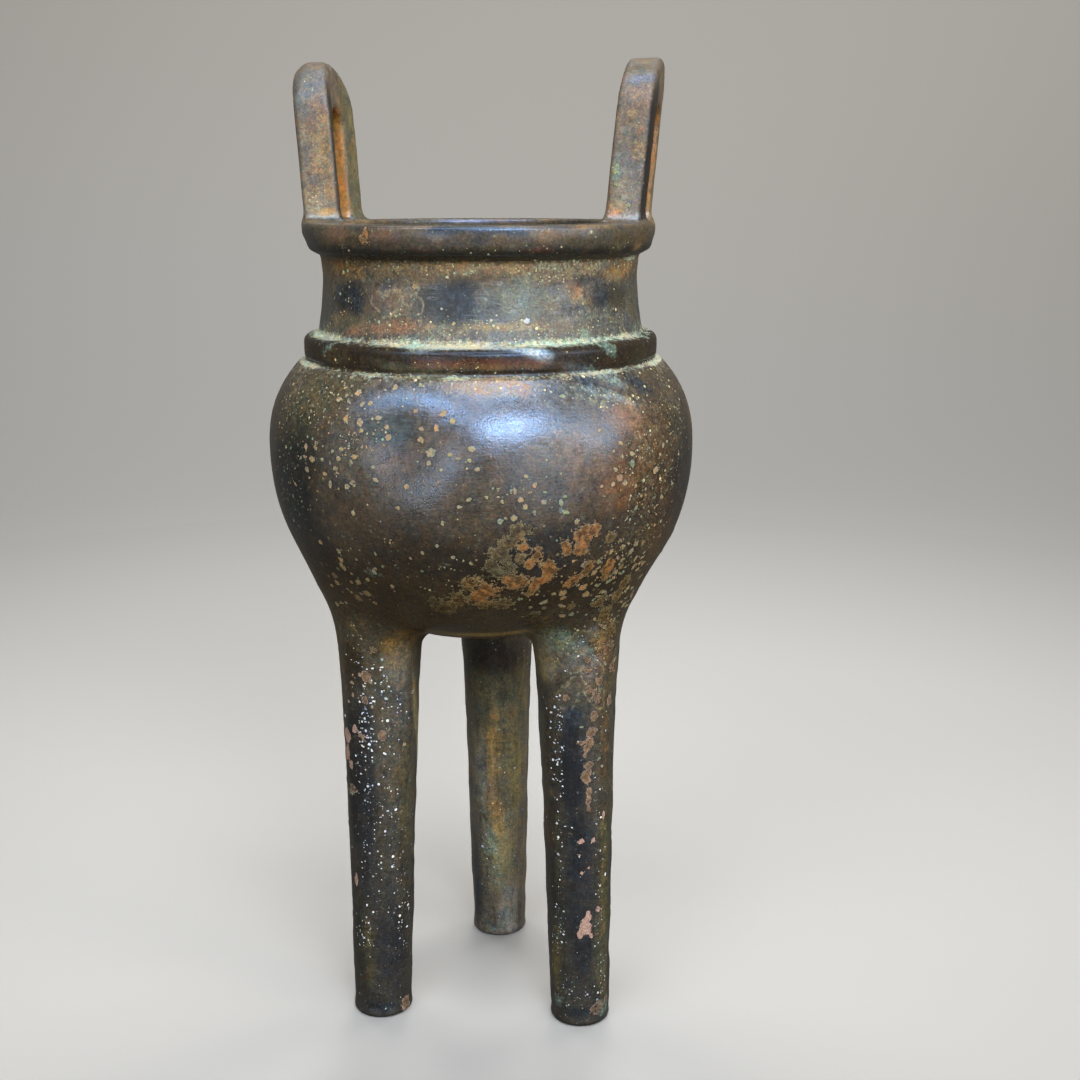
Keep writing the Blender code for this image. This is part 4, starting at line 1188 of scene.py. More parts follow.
    def add_spot(p, n, side, wide, tall, turn, hue, strength):
        first = side - n * float(side @ n)
        if np.linalg.norm(first) < 0.2:
            first = np.cross([0.0, 0.6, 0.8], n)
        first /= np.linalg.norm(first)
        second = np.cross(n, first)
        c, s = math.cos(math.radians(turn)), math.sin(math.radians(turn))
        first, second = first * c + second * s, second * c - first * s
        spots.append((p, n, first / wide, second / tall, hue, strength))

    for u, v, wide, tall, turn, hue in SPOTS:
        got = at(u, v, wide, tall)
        if got is not None:
            (p, n), wide, tall = got
            small = 0.68 if hue < 0 else 0.92
            add_spot(p, n, sight.right, wide * small, tall * small, turn, hue,
                     rng.uniform(0.6, 1.0))

    for u, v, wide, tall, number, small, large, hue in SHOWERS:
        for _ in range(number):
            turn, reach = rng.uniform(0, math.tau), math.sqrt(rng.random())
            size = small + (large - small) * rng.random() ** 2
            got = at(u + wide * reach * math.cos(turn), v + tall * reach * math.sin(turn),
                     size * rng.uniform(0.8, 1.5), size * rng.uniform(0.6, 1.0))
            tone = rng.normal(hue, 0.2)
            if got is not None:
                (p, n), w, h = got
                add_spot(p, n, sight.right, w, h, rng.uniform(-60, 60),
                         float(np.clip(tone, -1.0 if hue < 0 else 0.0, 1.0)),
                         rng.uniform(0.6, 1.0))

    def scatter(layer, azimuth, height, spread, number, small, large, hue, legs=False):
        for _ in range(number):
            a = azimuth + rng.normal(0, spread[0])
            h = height + rng.normal(0, spread[1])
            got = sight.around(a, h)
            if got is None:
                continue
            p, n = got
            eye = sight.place - p
            if float(n @ eye) / np.linalg.norm(eye) > 0.1:
                continue
            along = np.array([-math.sin(math.radians(a)), math.cos(math.radians(a)), 0.0])
            size = rng.uniform(small, large)
            layer.add(verts, normals, p, n, size * rng.uniform(0.7, 1.4),
                      size * rng.uniform(0.6, 1.1), rng.uniform(-40, 40),
                      min(1.0, max(0.0, rng.normal(hue, 0.2))), along)

    scatter(crust, 35, 112, (9, 5), 22, 0.8, 3.4, 0.6)
    scatter(crust, 78, 120, (10, 7), 26, 0.7, 3.0, 0.35)
    scatter(crust, 128, 109, (11, 5), 30, 0.8, 3.6, 0.75)
    scatter(crust, 150, 146, (8, 4), 10, 0.6, 2.0, 0.4)
    scatter(crust, 185, 118, (9, 8), 20, 0.7, 2.6, 0.4)
    scatter(crust, 350, 112, (7, 5), 14, 0.7, 2.2, 0.5)
    scatter(dark, 60, 153, (10, 2), 9, 1.6, 4.0, 0.5)
    scatter(dark, 110, 171, (12, 3), 8, 2.0, 4.6, 0.5)
    scatter(dark, 165, 173, (9, 3), 6, 2.0, 4.6, 0.5)
    scatter(dark, 20, 172, (8, 3), 5, 2.0, 4.0, 0.5)
    for azimuth, height in ((90, 70), (90, 30), (210, 60), (330, 50), (215, 25), (325, 78)):
        scatter(crust, azimuth, height, (6, 9), 8, 0.5, 1.7, 0.5)
        scatter(chips, azimuth, height - 8, (6, 12), 4, 0.4, 1.3, 0.5)
    scatter(halos, 120, 171, (14, 3), 7, 1.6, 3.0, 0.5)
    scatter(halos2, 126, 172, (12, 3), 5, 1.6, 2.6, 0.5)
    scatter(halos, 200, 171, (10, 3), 5, 1.6, 3.0, 0.5)

    def spread(rows, low_edge, high_edge):
        out = np.zeros(count)
        for u, v, wide, tall, amount in rows:
            got = at(u, v, wide, tall)
            if got is not None:
                place, wide, tall = got
                e = ellipse(verts, normals, place, wide, tall, 0.0, sight.right) + 0.3 * mid
                out = np.maximum(out, amount * smoothstep(low_edge, high_edge, e))
        return out

    loose = spread(SPOTTED, 1.1, 0.2)
    fine = np.maximum(spread(SPECKED, 1.15, 0.3), 0.07)
    film = spread(FILMS, 1.15, 0.3)
    blue = spread(BLUES, 1.15, 0.3)
    waves = spread(WAVES, 1.1, 0.4)
    there = (r > 34.0) & (z > 164) & (z < 181)
    far = fractal(verts, 13.0, 57, 2)
    film = np.maximum(film * (1 - hidden), hidden * np.clip(
        0.15 + 0.9 * far + 0.6 * there * (np.exp(-((z - 165.5) / 2.2) ** 2)
                                          + np.exp(-((z - 179.0) / 2.2) ** 2)), 0, 0.95))
    blue = np.maximum(blue * (1 - hidden), hidden * np.clip(
        -0.1 + 1.1 * fractal(verts, 11.0, 63, 2), 0, 0.8))
    film *= 1 - inner
    blue *= 1 - inner
    loose = np.maximum(loose * (1 - hidden),
                       hidden * np.clip(0.15 + 0.9 * low, 0, 1) * (z > 94) * (z < 157))
    loose = np.maximum(loose, hidden * np.clip(0.1 + 0.9 * low, 0, 1) * (z < 94))
    fine = np.maximum(fine * (1 - hidden), hidden * np.clip(0.35 + 0.9 * fractal(verts, 22, 3, 2),
                                                           0, 0.9))
    loose *= 1 - inner
    fine *= 1 - inner

    # loose small spots, thrown where `loose` is high and kept apart
    taken = {}
    for p, *_ in spots:
        taken.setdefault(tuple(np.floor(p / 2.0).astype(int).tolist()), []).append(p)
    order = rng.permutation(count)
    luck = rng.random(count)
    for k in order.tolist():
        if luck[k] > 0.5 * loose[k] ** 1.3:
            continue
        p = verts[k] + rng.normal(0, 0.25, 3)
        gap = 1.15 + 0.9 * (1 - min(1.0, loose[k]))
        key = np.floor(p / 2.0).astype(int).tolist()
        close = False
        for dx in (-1, 0, 1):
            for dy in (-1, 0, 1):
                for dz in (-1, 0, 1):
                    for q in taken.get((key[0] + dx, key[1] + dy, key[2] + dz), ()):
                        if (p[0] - q[0]) ** 2 + (p[1] - q[1]) ** 2 + (p[2] - q[2]) ** 2 < gap * gap:
                            close = True
        if close:
            continue
        taken.setdefault(tuple(key), []).append(p)
        n = normals[k]
        side = np.array([-n[1], n[0], 0.0])
        size = 0.2 + 0.75 * rng.random() ** 2.4
        size = size if p[2] > 95 else 0.16 + 0.3 * rng.random() ** 2
        add_spot(p, n, side, size * rng.uniform(0.8, 1.25), size * rng.uniform(0.75, 1.3),
                 rng.uniform(-50, 50), float(np.clip(rng.normal(0.5, 0.28), 0.0, 1.0) if p[2] > 95
                                             else np.clip(rng.normal(-0.3, 0.3), -1.0, 1.0)),
                 rng.uniform(0.35, 1.0))

    # powder in the creases over and under the band, and under the rim
    around = np.arctan2(y, x)
    wave = fractal(verts, 9.0, 31, 3)
    outside = (1 - inner) * (r > 34.0)
    ends = 0.5 + 0.5 * np.cos(2 * (around - math.radians(-4.0)))
    powder = outside * np.maximum.reduce([
        np.exp(-((z - 164.1) / 0.75) ** 2) * (0.66 + 0.5 * wave),
        np.exp(-((z - 157.8) / 0.45) ** 2) * (0.34 + 0.3 * ends + 0.7 * wave),
        np.exp(-((z - 180.3) / 0.6) ** 2) * (0.2 + 0.9 * wave)])
    dust = outside * (0.75 + 0.9 * wave) * np.maximum.reduce([
        np.exp(-np.maximum(z - 164.0, 0.0) / 2.0) * (z > 163.6) * (z < 176),
        0.55 * np.exp(-np.maximum(180.8 - z, 0.0) / 2.2) * (z < 181.2) * (z > 170),
        (0.55 + 0.4 * ends) * np.exp(-np.maximum(157.9 - z, 0.0) / 2.6) * (z < 158.2)])
    fine = np.maximum(fine, outside * np.maximum.reduce([
        np.exp(-np.maximum(z - 164.0, 0.0) / 2.2) * (z > 163.9) * (z < 176),
        0.8 * np.exp(-np.maximum(180.6 - z, 0.0) / 2.4) * (z < 181.0) * (z > 170),
        0.75 * np.exp(-np.maximum(157.9 - z, 0.0) / 2.6) * (z < 158.2)]))
    # how much of the bare polished surface shows, for sheen and brush marks
    brushed = smoothstep(104.0, 118.0, z) * smoothstep(157.0, 150.0, z) * (1 - inner)
    brushed = np.maximum(brushed, 0.8 * outside * smoothstep(165.5, 168.0, z)
                         * smoothstep(180.0, 177.0, z))
    return {"tint": tint, "crust": crust, "chips": chips, "dark": dark, "spots": spots,
            "loose": loose, "fine": fine, "powder": np.clip(powder, 0, 1), "brushed": brushed,
            "hidden": hidden, "halos": halos, "halos2": halos2, "film": film, "blue": blue,
            "waves": waves * (1 - inner),
            "dust": np.clip(dust, 0, 1)}


# Broad hollows of the casting: place in pixels, half width and depth in mm.
DENTS = (
    (398, 448, 13.5, 1.9), (330, 490, 12.0, 0.25), (470, 515, 10.0, 0.2), (560, 478, 12.0, 0.5),
    (640, 520, 10.0, 0.25), (598, 412, 8.0, 0.3), (300, 540, 10.0, 0.25),
)


def relief(verts, normals, inner, sight, marks):
    """How far each vertex sinks below the true outline (never above it), in mm."""
    x, y, z = verts.T
    wave = fractal(verts, 26.0, 71, 2)
    ripple = fractal(verts, 9.0, 83, 3)
    grain = value_noise(verts, 2.6, 91)
    depth = 0.16 + 0.12 * wave + 0.05 * ripple + 0.018 * grain
    legs = smoothstep(100.0, 90.0, z)
    depth += legs * 0.07 * fractal(verts * np.array([1.0, 1.0, 0.35]), 5.0, 97, 2)
    depth += legs * 0.16
    ring = FOOT_CIRCLE_R + LEG_SPLAY * z
    for azimuth in LEG_AZIMUTHS:
        # where the two halves of the mould met, a worn ridge down each side
        c, s = math.cos(math.radians(azimuth)), math.sin(math.radians(azimuth))
        dx, dy = x - ring * c, y - ring * s
        turn = np.arctan2(dy, dx)
        close = np.hypot(dx, dy) < 13.0
        for face in (0.0, math.pi):
            off = (turn - face + 0.10 * fractal(verts, 14.0, 131, 2) + math.pi) % math.tau - math.pi
            ridge = np.exp(-(off * 8.5 / 0.9) ** 2)
            worn = np.clip(0.55 + 1.1 * fractal(verts, 6.0, 137, 3), 0.0, 1.0)
            depth -= close * legs * ridge * worn * 0.34
    ears = smoothstep(188.5, 192.0, z)
    depth += ears * 0.06 * fractal(verts, 5.0, 103, 2)
    for u, v, wide, deep in DENTS:
        got = sight.at(u, v)
        if got is None:
            continue
        p = got[0]
        e = np.linalg.norm(verts - p, axis=1) / wide
        depth += deep * np.exp(-e ** 2 * 2.2)
    # crust stands a little proud, bare chips a little low
    depth -= 0.11 * smoothstep(-0.05, 0.3, marks["crust"].level)
    depth += 0.09 * smoothstep(-0.1, 0.3, marks["chips"].level)
    sharp = np.exp(-((z - 161.2) / 3.0) ** 2) + np.exp(-((z - 187.5) / 1.5) ** 2)
    depth = depth * (1 - 0.6 * np.clip(sharp, 0, 1))
    depth *= smoothstep(0.4, 3.0, z) * (1 - inner * 0.6)
    return np.maximum(depth, 0.0)


# ----------------------------------------------------------------- materials
class Graph:
    """Short hand for building a node tree."""

    def __init__(self, tree):
        self.tree = tree

    def node(self, kind, **settings):
        n = self.tree.nodes.new(kind)
        for name, value in settings.items():
            setattr(n, name, value)
        return n

    def put(self, socket, value):
        if isinstance(value, bpy.types.NodeSocket):
            self.tree.links.new(value, socket)
        elif isinstance(value, (tuple, list, np.ndarray)):
            value = [float(v) for v in value]
            if len(socket.default_value) == 4 and len(value) == 3:
                value.append(1.0)
            socket.default_value = value
        else:
            socket.default_value = value

    def math(self, op, a, b=None, c=None, clamp=False):
        n = self.node("ShaderNodeMath", operation=op, use_clamp=clamp)
        self.put(n.inputs[0], a)
        if b is not None:
            self.put(n.inputs[1], b)
        if c is not None:
            self.put(n.inputs[2], c)
        return n.outputs[0]

    def add(self, *values):
        out = values[0]
        for v in values[1:]:
            out = self.math("ADD", out, v)
        return out

    def mul(self, *values):
        out = values[0]
        for v in values[1:]:
            out = self.math("MULTIPLY", out, v)
        return out

    def vmath(self, op, a, b=None, out=0):
        n = self.node("ShaderNodeVectorMath", operation=op)
        self.put(n.inputs[0], a)
        if b is not None:
            self.put(n.inputs[1], b)
        return n.outputs[out]

    def times(self, vec, factor):
        n = self.node("ShaderNodeVectorMath", operation="SCALE")
        self.put(n.inputs[0], vec)
        self.put(n.inputs["Scale"], factor)
        return n.outputs[0]

    def scaled(self, vec, x, y, z):
        return self.vmath("MULTIPLY", vec, (x, y, z))

    def attr(self, name, out="Fac"):
        n = self.node("ShaderNodeAttribute", attribute_name=name, attribute_type="GEOMETRY")
        return n.outputs[out]

    def noise(self, vec, size, detail=3.0, rough=0.5, warp=0.0, out="Fac"):
        """Noise whose features are about `size` mm (the vector is in mm)."""
        n = self.node("ShaderNodeTexNoise")
        self.put(n.inputs["Vector"], vec)
        n.inputs["Scale"].default_value = 1.0 / size
        n.inputs["Detail"].default_value = detail
        n.inputs["Roughness"].default_value = rough
        n.inputs["Distortion"].default_value = warp
        return n.outputs[out]

    def cells(self, vec, size, feature="F1", rand=1.0):
        n = self.node("ShaderNodeTexVoronoi", feature=feature)
        self.put(n.inputs["Vector"], vec)
        n.inputs["Scale"].default_value = 1.0 / size
        n.inputs["Randomness"].default_value = rand
        return n

    def step(self, value, lo, hi, low=0.0, high=1.0):
        """A smooth step of value from lo to hi; lo may be above hi."""
        n = self.node("ShaderNodeMapRange", interpolation_type="SMOOTHSTEP", clamp=True)
        self.put(n.inputs["Value"], value)
        if isinstance(lo, float) and isinstance(hi, float) and lo > hi:
            lo, hi, low, high = hi, lo, high, low
        self.put(n.inputs["From Min"], lo)
        self.put(n.inputs["From Max"], hi)
        self.put(n.inputs["To Min"], low)
        self.put(n.inputs["To Max"], high)
        return n.outputs[0]

    def mix(self, fac, a, b, mode="MIX"):
        n = self.node("ShaderNodeMix", data_type="RGBA", blend_type=mode, clamp_factor=True)
        self.put(n.inputs[0], fac)
        self.put(n.inputs[6], a)
        self.put(n.inputs[7], b)
        return n.outputs[2]

    def lerp(self, fac, a, b):
        n = self.node("ShaderNodeMix", data_type="FLOAT", clamp_factor=True)
        self.put(n.inputs[0], fac)
        self.put(n.inputs[2], a)
        self.put(n.inputs[3], b)
        return n.outputs[0]

    def split(self, vec):
        n = self.node("ShaderNodeSeparateXYZ")
        self.put(n.inputs[0], vec)
        return n.outputs


def patina_material():
    mat = bpy.data.materials.new("patinated_copper_cast")
    mat.use_nodes = True
    tree = mat.node_tree
    tree.nodes.clear()
    g = Graph(tree)
    out = g.node("ShaderNodeOutputMaterial")
    skin = g.node("ShaderNodeBsdfPrincipled")
    tree.links.new(skin.outputs[0], out.inputs[0])

    place = g.node("ShaderNodeTexCoord").outputs["Object"]
    mm = g.vmath("MULTIPLY", place, (1000.0, 1000.0, 1000.0))
    axes = g.split(mm)

    # noises shared by several layers
    fine = g.noise(mm, 0.45, 3.0, 0.6)
    grain = g.noise(mm, 1.3, 4.0, 0.6)
    cloud = g.noise(mm, 4.5, 5.0, 0.62, 0.3)
    large = g.noise(mm, 11.0, 4.0, 0.6)
    stretched = g.scaled(mm, 1.0, 1.0, 6.0)
    brush = g.noise(g.scaled(mm, 0.13, 0.13, 2.2), 0.6, 4.0, 0.7, 0.25)
    run = g.noise(g.scaled(mm, 1.0, 1.0, 0.16), 1.5, 4.0, 0.6)
    warp = g.noise(mm, 2.2, 4.0, 0.65, 0.0, "Color")
    warp = g.vmath("SUBTRACT", warp, (0.5, 0.5, 0.5))
    edge = g.math("SUBTRACT", g.noise(mm, 1.7, 5.0, 0.66), 0.5)
    edge2 = g.math("SUBTRACT", g.noise(mm, 0.8, 3.0, 0.6), 0.5)

    # the skin: a mottled brown over the zone's own colour
    tint = g.attr("tint", "Color")
    mottle = g.step(cloud, 0.3, 0.7)
    col = g.mix(g.lerp(mottle, 0.34, 0.0), tint, srgb(32, 26, 19))
    col = g.mix(g.mul(g.step(large, 0.5, 0.72), 0.3), col,
                g.vmath("MULTIPLY", tint, (1.65, 1.5, 1.15)))
    patchy = g.noise(mm, 6.5, 4.0, 0.6, 0.6)
    col = g.mix(g.mul(g.step(patchy, 0.5, 0.68), 0.5), col,
                g.vmath("MULTIPLY", tint, (1.35, 1.12, 0.82)))
    col = g.mix(g.mul(g.step(patchy, 0.46, 0.3), 0.45), col,
                g.vmath("MULTIPLY", tint, (0.7, 0.76, 0.78)))
    col = g.mix(g.mul(g.step(grain, 0.52, 0.7), 0.5), col,
                g.vmath("MULTIPLY", tint, (1.85, 1.8, 1.4)))
    col = g.mix(g.mul(g.step(grain, 0.46, 0.32), 0.4), col, srgb(29, 24, 18))

    legs = g.step(axes[2], 100.0, 86.0)
    col = g.mix(g.mul(g.step(run, 0.52, 0.7), legs, 0.35), col,
                g.vmath("MULTIPLY", tint, (1.8, 1.7, 1.2)))
    col = g.mix(g.mul(g.step(run, 0.46, 0.34), legs, 0.35), col, srgb(27, 25, 22))

    ears = g.step(axes[2], 188.4, 190.2)
    rim = g.mul(g.step(axes[2], 183.0, 184.5), g.step(axes[2], 189.2, 188.0))
    spotty = g.noise(mm, 2.0, 5.0, 0.72)
    col = g.mix(g.mul(g.step(spotty, 0.5, 0.62), ears, 0.45), col,
                g.vmath("MULTIPLY", tint, (1.45, 1.0, 0.62)))
    col = g.mix(g.mul(g.step(spotty, 0.46, 0.36), ears, 0.5), col,
                g.vmath("MULTIPLY", tint, (0.66, 0.74, 0.88)))

    brushed = g.attr("brushed")
    col = g.mix(g.mul(g.step(brush, 0.52, 0.7), brushed, 0.15), col,
                g.vmath("MULTIPLY", tint, (1.7, 1.6, 1.45)))
    col = g.mix(g.mul(g.step(brush, 0.46, 0.34), brushed, 0.05), col, srgb(28, 24, 22))

    col = g.mix(g.mul(rim, 0.5), col, g.vmath("MULTIPLY", tint, (1.12, 1.02, 1.0)))

    # dusty ochre and orange films
    film_level = g.add(g.mul(g.attr("film"), 0.95), g.mul(g.math("SUBTRACT", cloud, 0.5), 1.8),
                       g.mul(edge, 1.6), g.mul(edge2, 1.5))
    film = g.step(film_level, 0.2, 1.15)
    film_col = g.mix(g.step(g.noise(mm, 3.1, 4.0, 0.6), 0.4, 0.62),
                     g.vmath("MULTIPLY", g.vmath("ADD", tint, (0.05, 0.035, 0.012)),
                             (1.55, 1.12, 0.62)),
                     g.vmath("MULTIPLY", g.vmath("ADD", tint, (0.05, 0.045, 0.025)),
                             (1.35, 1.25, 0.9)))
    col = g.mix(g.mul(film, 0.85), col, film_col)

    # turquoise and grey-blue dust
    blue_level = g.add(g.mul(g.attr("blue"), 1.1), g.mul(edge, 1.5), g.mul(edge2, 1.2))
    blue = g.step(blue_level, 0.42, 0.9)
    col = g.mix(g.mul(blue, 0.62), col, g.mix(g.step(grain, 0.42, 0.6), srgb(84, 104, 92),
                                              srgb(118, 134, 122)))

    # tan patches with pale outlines
    wobble = g.add(g.mul(edge, 0.8), g.mul(edge2, 0.5))
    for name in ("halo", "halo2"):
        halo_level = g.add(g.attr(name), wobble)
        halo_in = g.step(halo_level, -0.05, 0.1)
        halo_line = g.mul(g.step(halo_level, -0.16, 0.02), g.step(halo_level, 0.24, 0.02),
                          g.step(grain, 0.38, 0.6))
        col = g.mix(g.mul(halo_in, 0.3), col, g.vmath("MULTIPLY", tint, (1.45, 1.28, 1.0)))
        col = g.mix(g.mul(halo_line, 0.45), col, srgb(142, 132, 106))

    # thin wavy pale lines across the neck
    lines = g.noise(g.vmath("ADD", g.scaled(mm, 0.2, 0.2, 1.0), g.times(warp, 0.7)), 2.4, 2.0, 0.5)
    lines = g.math("ABSOLUTE", g.math("SUBTRACT", g.math("FRACT", g.mul(lines, 6.0)), 0.5))
    lines = g.mul(g.step(lines, 0.14, 0.03), g.step(cloud, 0.38, 0.55), g.attr("waves"))
    col = g.mix(g.mul(lines, 0.42), col, srgb(150, 154, 156))

    # blue-black places
    dark_level = g.add(g.attr("dark"), g.mul(edge, 1.6), g.mul(edge2, 0.8))
    dark = g.step(dark_level, -0.55, 0.45)
    dark_col = g.mix(g.step(grain, 0.4, 0.65), srgb(28, 30, 34), srgb(54, 58, 63))
    col = g.mix(g.mul(dark, 0.6), col, dark_col)

    # powder in the creases, thinning to dust beside them
    powder_level = g.add(g.attr("powder"), g.mul(edge, 0.7), g.mul(edge2, 0.9))
    powder = g.step(powder_level, 0.2, 0.62)
    dust_level = g.add(g.mul(g.attr("dust"), 0.9), g.mul(edge2, 2.6), g.mul(edge, 1.4))
    dust = g.step(dust_level, 0.35, 1.1)
    powder_col = g.mix(g.step(cloud, 0.4, 0.6), srgb(148, 140, 116), srgb(138, 152, 132))
    dust_col = g.mix(g.step(grain, 0.48, 0.62), powder_col, srgb(118, 88, 58))
    dusty = g.mul(dust, 0.7, g.math("SUBTRACT", 1.0, g.mul(dark, 0.8)))
    col = g.mix(dusty, col, g.vmath("MULTIPLY", dust_col, (0.78, 0.78, 0.78)))
    col = g.mix(g.mul(powder, 0.85), col, g.mix(g.mul(g.step(grain, 0.54, 0.66), 0.4), powder_col,
                                                srgb(118, 92, 64)))

    # fine specks in two sizes
    fine_amount = g.attr("fine")
    low_part = g.step(axes[2], 100.0, 88.0)

    def specks(size, share, small, large):
        cell = g.cells(mm, size)
        rand = g.split(cell.outputs["Color"])
        live = g.step(g.math("SUBTRACT", g.mul(fine_amount, share), rand[0]), 0.0, 0.06)
        span = g.lerp(g.mul(rand[1], rand[1]), small, large)
        mask = g.mul(live, g.step(g.math("SUBTRACT", span, g.add(
            cell.outputs["Distance"], g.mul(edge2, 0.2))), -0.03, 0.05))
        tone = g.mix(g.step(rand[2], 0.3, 0.45), srgb(164, 158, 112), srgb(128, 148, 122))
        tone = g.mix(g.step(rand[2], 0.62, 0.7), tone, srgb(184, 168, 128))
        tone = g.mix(g.mul(low_part, 0.85), tone, srgb(216, 218, 222))
        return mask, tone

    fleck_a, tone_a = specks(1.25, 0.55, 0.1, 0.34)
    fleck_b, tone_b = specks(0.68, 0.95, 0.12, 0.36)
    col = g.mix(g.mul(fleck_b, 0.6), col, tone_b)
    col = g.mix(g.mul(fleck_a, 0.85), col, tone_a)
    flecks = g.math("MAXIMUM", fleck_a, g.mul(fleck_b, 0.7))

    # dense faint freckles between them
    freckle = g.mul(g.step(g.add(g.noise(mm, 0.85, 2.0, 0.55), g.mul(fine_amount, 0.1)), 0.57, 0.66),
                    g.step(fine_amount, 0.1, 0.8))
    col = g.mix(g.mul(freckle, g.lerp(low_part, 0.5, 0.3)), col,
                g.vmath("ADD", g.vmath("MULTIPLY", tint, (1.9, 1.95, 1.6)), (0.012, 0.014, 0.006)))

    # fine multicoloured grain over everything so far
    motes = g.noise(mm, 0.6, 3.0, 0.62, 0.0, "Color")
    motes = g.vmath("SUBTRACT", motes, (0.5, 0.5, 0.5))
    warmth = g.math("SUBTRACT", g.noise(mm, 3.0, 4.0, 0.65, 0.4), 0.5)
    shift = g.times((0.9, 0.2, -0.9), warmth)
    hues = g.vmath("ADD", g.vmath("ADD", g.vmath("MULTIPLY", motes, (0.95, 0.8, 0.95)), shift),
                   (1.0, 1.0, 1.0))
    light = g.add(g.mul(fine, 2.0), 0.0)
    col = g.times(g.vmath("MULTIPLY", col, hues), light)

    # spots, each with its own paler lip and darker surround
    gone = g.vmath("SUBTRACT", mm, g.attr("spot_mid", "Vector"))
    gone = g.vmath("ADD", gone, g.vmath("MULTIPLY", warp, (1.15, 1.15, 1.15)))
    sway = g.split(motes)
    first = g.add(g.vmath("DOT_PRODUCT", gone, g.attr("spot_a", "Vector"), out=1),
                  g.mul(sway[0], 1.3))
    second = g.add(g.vmath("DOT_PRODUCT", gone, g.attr("spot_b", "Vector"), out=1),
                   g.mul(sway[1], 1.3))
    away = g.math("SQRT", g.add(g.mul(first, first), g.mul(second, second)))
    spot_level = g.add(g.math("SUBTRACT", 1.0, away), g.mul(edge2, 0.9))
    strong = g.attr("spot_level")
    ring = g.mul(g.step(spot_level, -0.75, -0.1), strong)
    core = g.mul(g.step(spot_level, -0.1, 0.14), strong)
    heart = g.mul(g.step(spot_level, 0.16, 0.42), strong)
    spot_hue = g.attr("spot_hue")
    lip_col = g.mix(g.step(spot_hue, 0.05, 0.35), srgb(122, 132, 106), srgb(144, 130, 102))
    lip_col = g.mix(g.step(spot_hue, 0.0, -0.7), lip_col, srgb(206, 206, 208))
    lip_col = g.mix(g.mul(low_part, g.step(spot_hue, 0.0, 0.2), 0.6), lip_col, srgb(150, 126, 108))
    spot_col = g.mix(g.step(spot_hue, 0.05, 0.35), srgb(106, 108, 74), srgb(130, 106, 66))
    spot_col = g.mix(g.step(spot_hue, 0.5, 0.95), spot_col, srgb(138, 92, 44))
    spot_col = g.mix(g.step(spot_hue, 0.0, -0.7), spot_col, srgb(200, 202, 208))
    spot_col = g.mix(g.mul(low_part, g.step(spot_hue, 0.0, 0.2), 0.6), spot_col, srgb(140, 110, 88))
    lip_col = g.times(g.vmath("MULTIPLY", lip_col, hues), light)
    spot_col = g.times(g.vmath("MULTIPLY", spot_col, hues), light)
    col = g.mix(g.mul(ring, 0.4), col, srgb(34, 29, 25))
    col = g.mix(g.mul(core, 0.85), col, lip_col)
    col = g.mix(g.mul(heart, 0.85), col, spot_col)

    # crust: tan to orange, broken at its edge, on a dark stain; a thin and
    # see-through skin lies around the thick parts
    breaks = g.math("SUBTRACT", g.noise(mm, 2.2, 6.0, 0.75, 0.9), 0.5)
    crust_level = g.add(g.attr("crust"), g.mul(g.add(g.mul(edge, 1.4), g.mul(breaks, 3.0),
                        g.mul(edge2, 1.6)), g.lerp(low_part, 1.0, 0.8)), g.lerp(low_part, 0.05, 0.08))
    stain = g.mul(g.step(crust_level, -0.42, -0.05), g.lerp(low_part, 1.0, 0.4))
    thin = g.step(crust_level, -0.2, -0.1)
    crust = g.step(crust_level, 0.0, 0.08)
    lip = g.mul(g.step(crust_level, -0.02, 0.06), g.step(crust_level, 0.3, 0.12))
    hue = g.add(g.attr("crust_hue"), g.mul(g.math("SUBTRACT", cloud, 0.5), 1.6))
    crust_col = g.mix(g.step(hue, 0.15, 0.5), srgb(100, 94, 68), srgb(118, 98, 62))
    crust_col = g.mix(g.step(hue, 0.5, 0.95), crust_col, srgb(142, 98, 56))
    crust_col = g.mix(g.step(hue, 1.1, 1.4), crust_col, srgb(150, 92, 50))
    crust_col = g.mix(g.mul(low_part, 0.7), crust_col, srgb(132, 106, 84))
    crust_col = g.mix(g.mul(g.step(grain, 0.6, 0.4), g.lerp(low_part, 0.8, 0.5)), crust_col,
                      srgb(62, 46, 28))
    cracks = g.step(g.math("ABSOLUTE", g.math("SUBTRACT", spotty, 0.5)), 0.03, 0.006)
    crust_col = g.mix(g.mul(cracks, g.step(hue, 0.9, 0.4), 0.75), crust_col, srgb(44, 34, 24))
    crust_col = g.mix(g.step(g.add(breaks, edge2), 0.02, -0.12), crust_col,
                      g.vmath("MULTIPLY", crust_col, (0.62, 0.58, 0.52)))
    crust_col = g.mix(g.mul(lip, 0.7), crust_col, g.mix(low_part, srgb(148, 134, 96),
                                                        srgb(166, 142, 122)))
    crust_col = g.vmath("MULTIPLY", crust_col, (0.84, 0.84, 0.85))
    solid = g.lerp(g.step(hue, 0.35, 0.8), 0.66, 0.96)
    col = g.mix(g.mul(stain, 0.75), col, srgb(24, 19, 14))
    col = g.mix(g.mul(thin, 0.42), col, g.vmath("MULTIPLY", crust_col, (0.6, 0.6, 0.6)))
    col = g.mix(g.mul(crust, solid), col, crust_col)

    # bare copper-pink chips
    chip_level = g.add(g.attr("chips"), g.mul(edge, 1.2), g.mul(edge2, 0.5))
    chip = g.step(chip_level, -0.02, 0.06)
    col = g.mix(g.mul(g.step(chip_level, -0.25, -0.03), 0.4), col, srgb(38, 34, 32))
    col = g.mix(chip, col, g.mix(g.step(fine, 0.35, 0.65), srgb(142, 110, 94),
                                 srgb(176, 146, 130)))

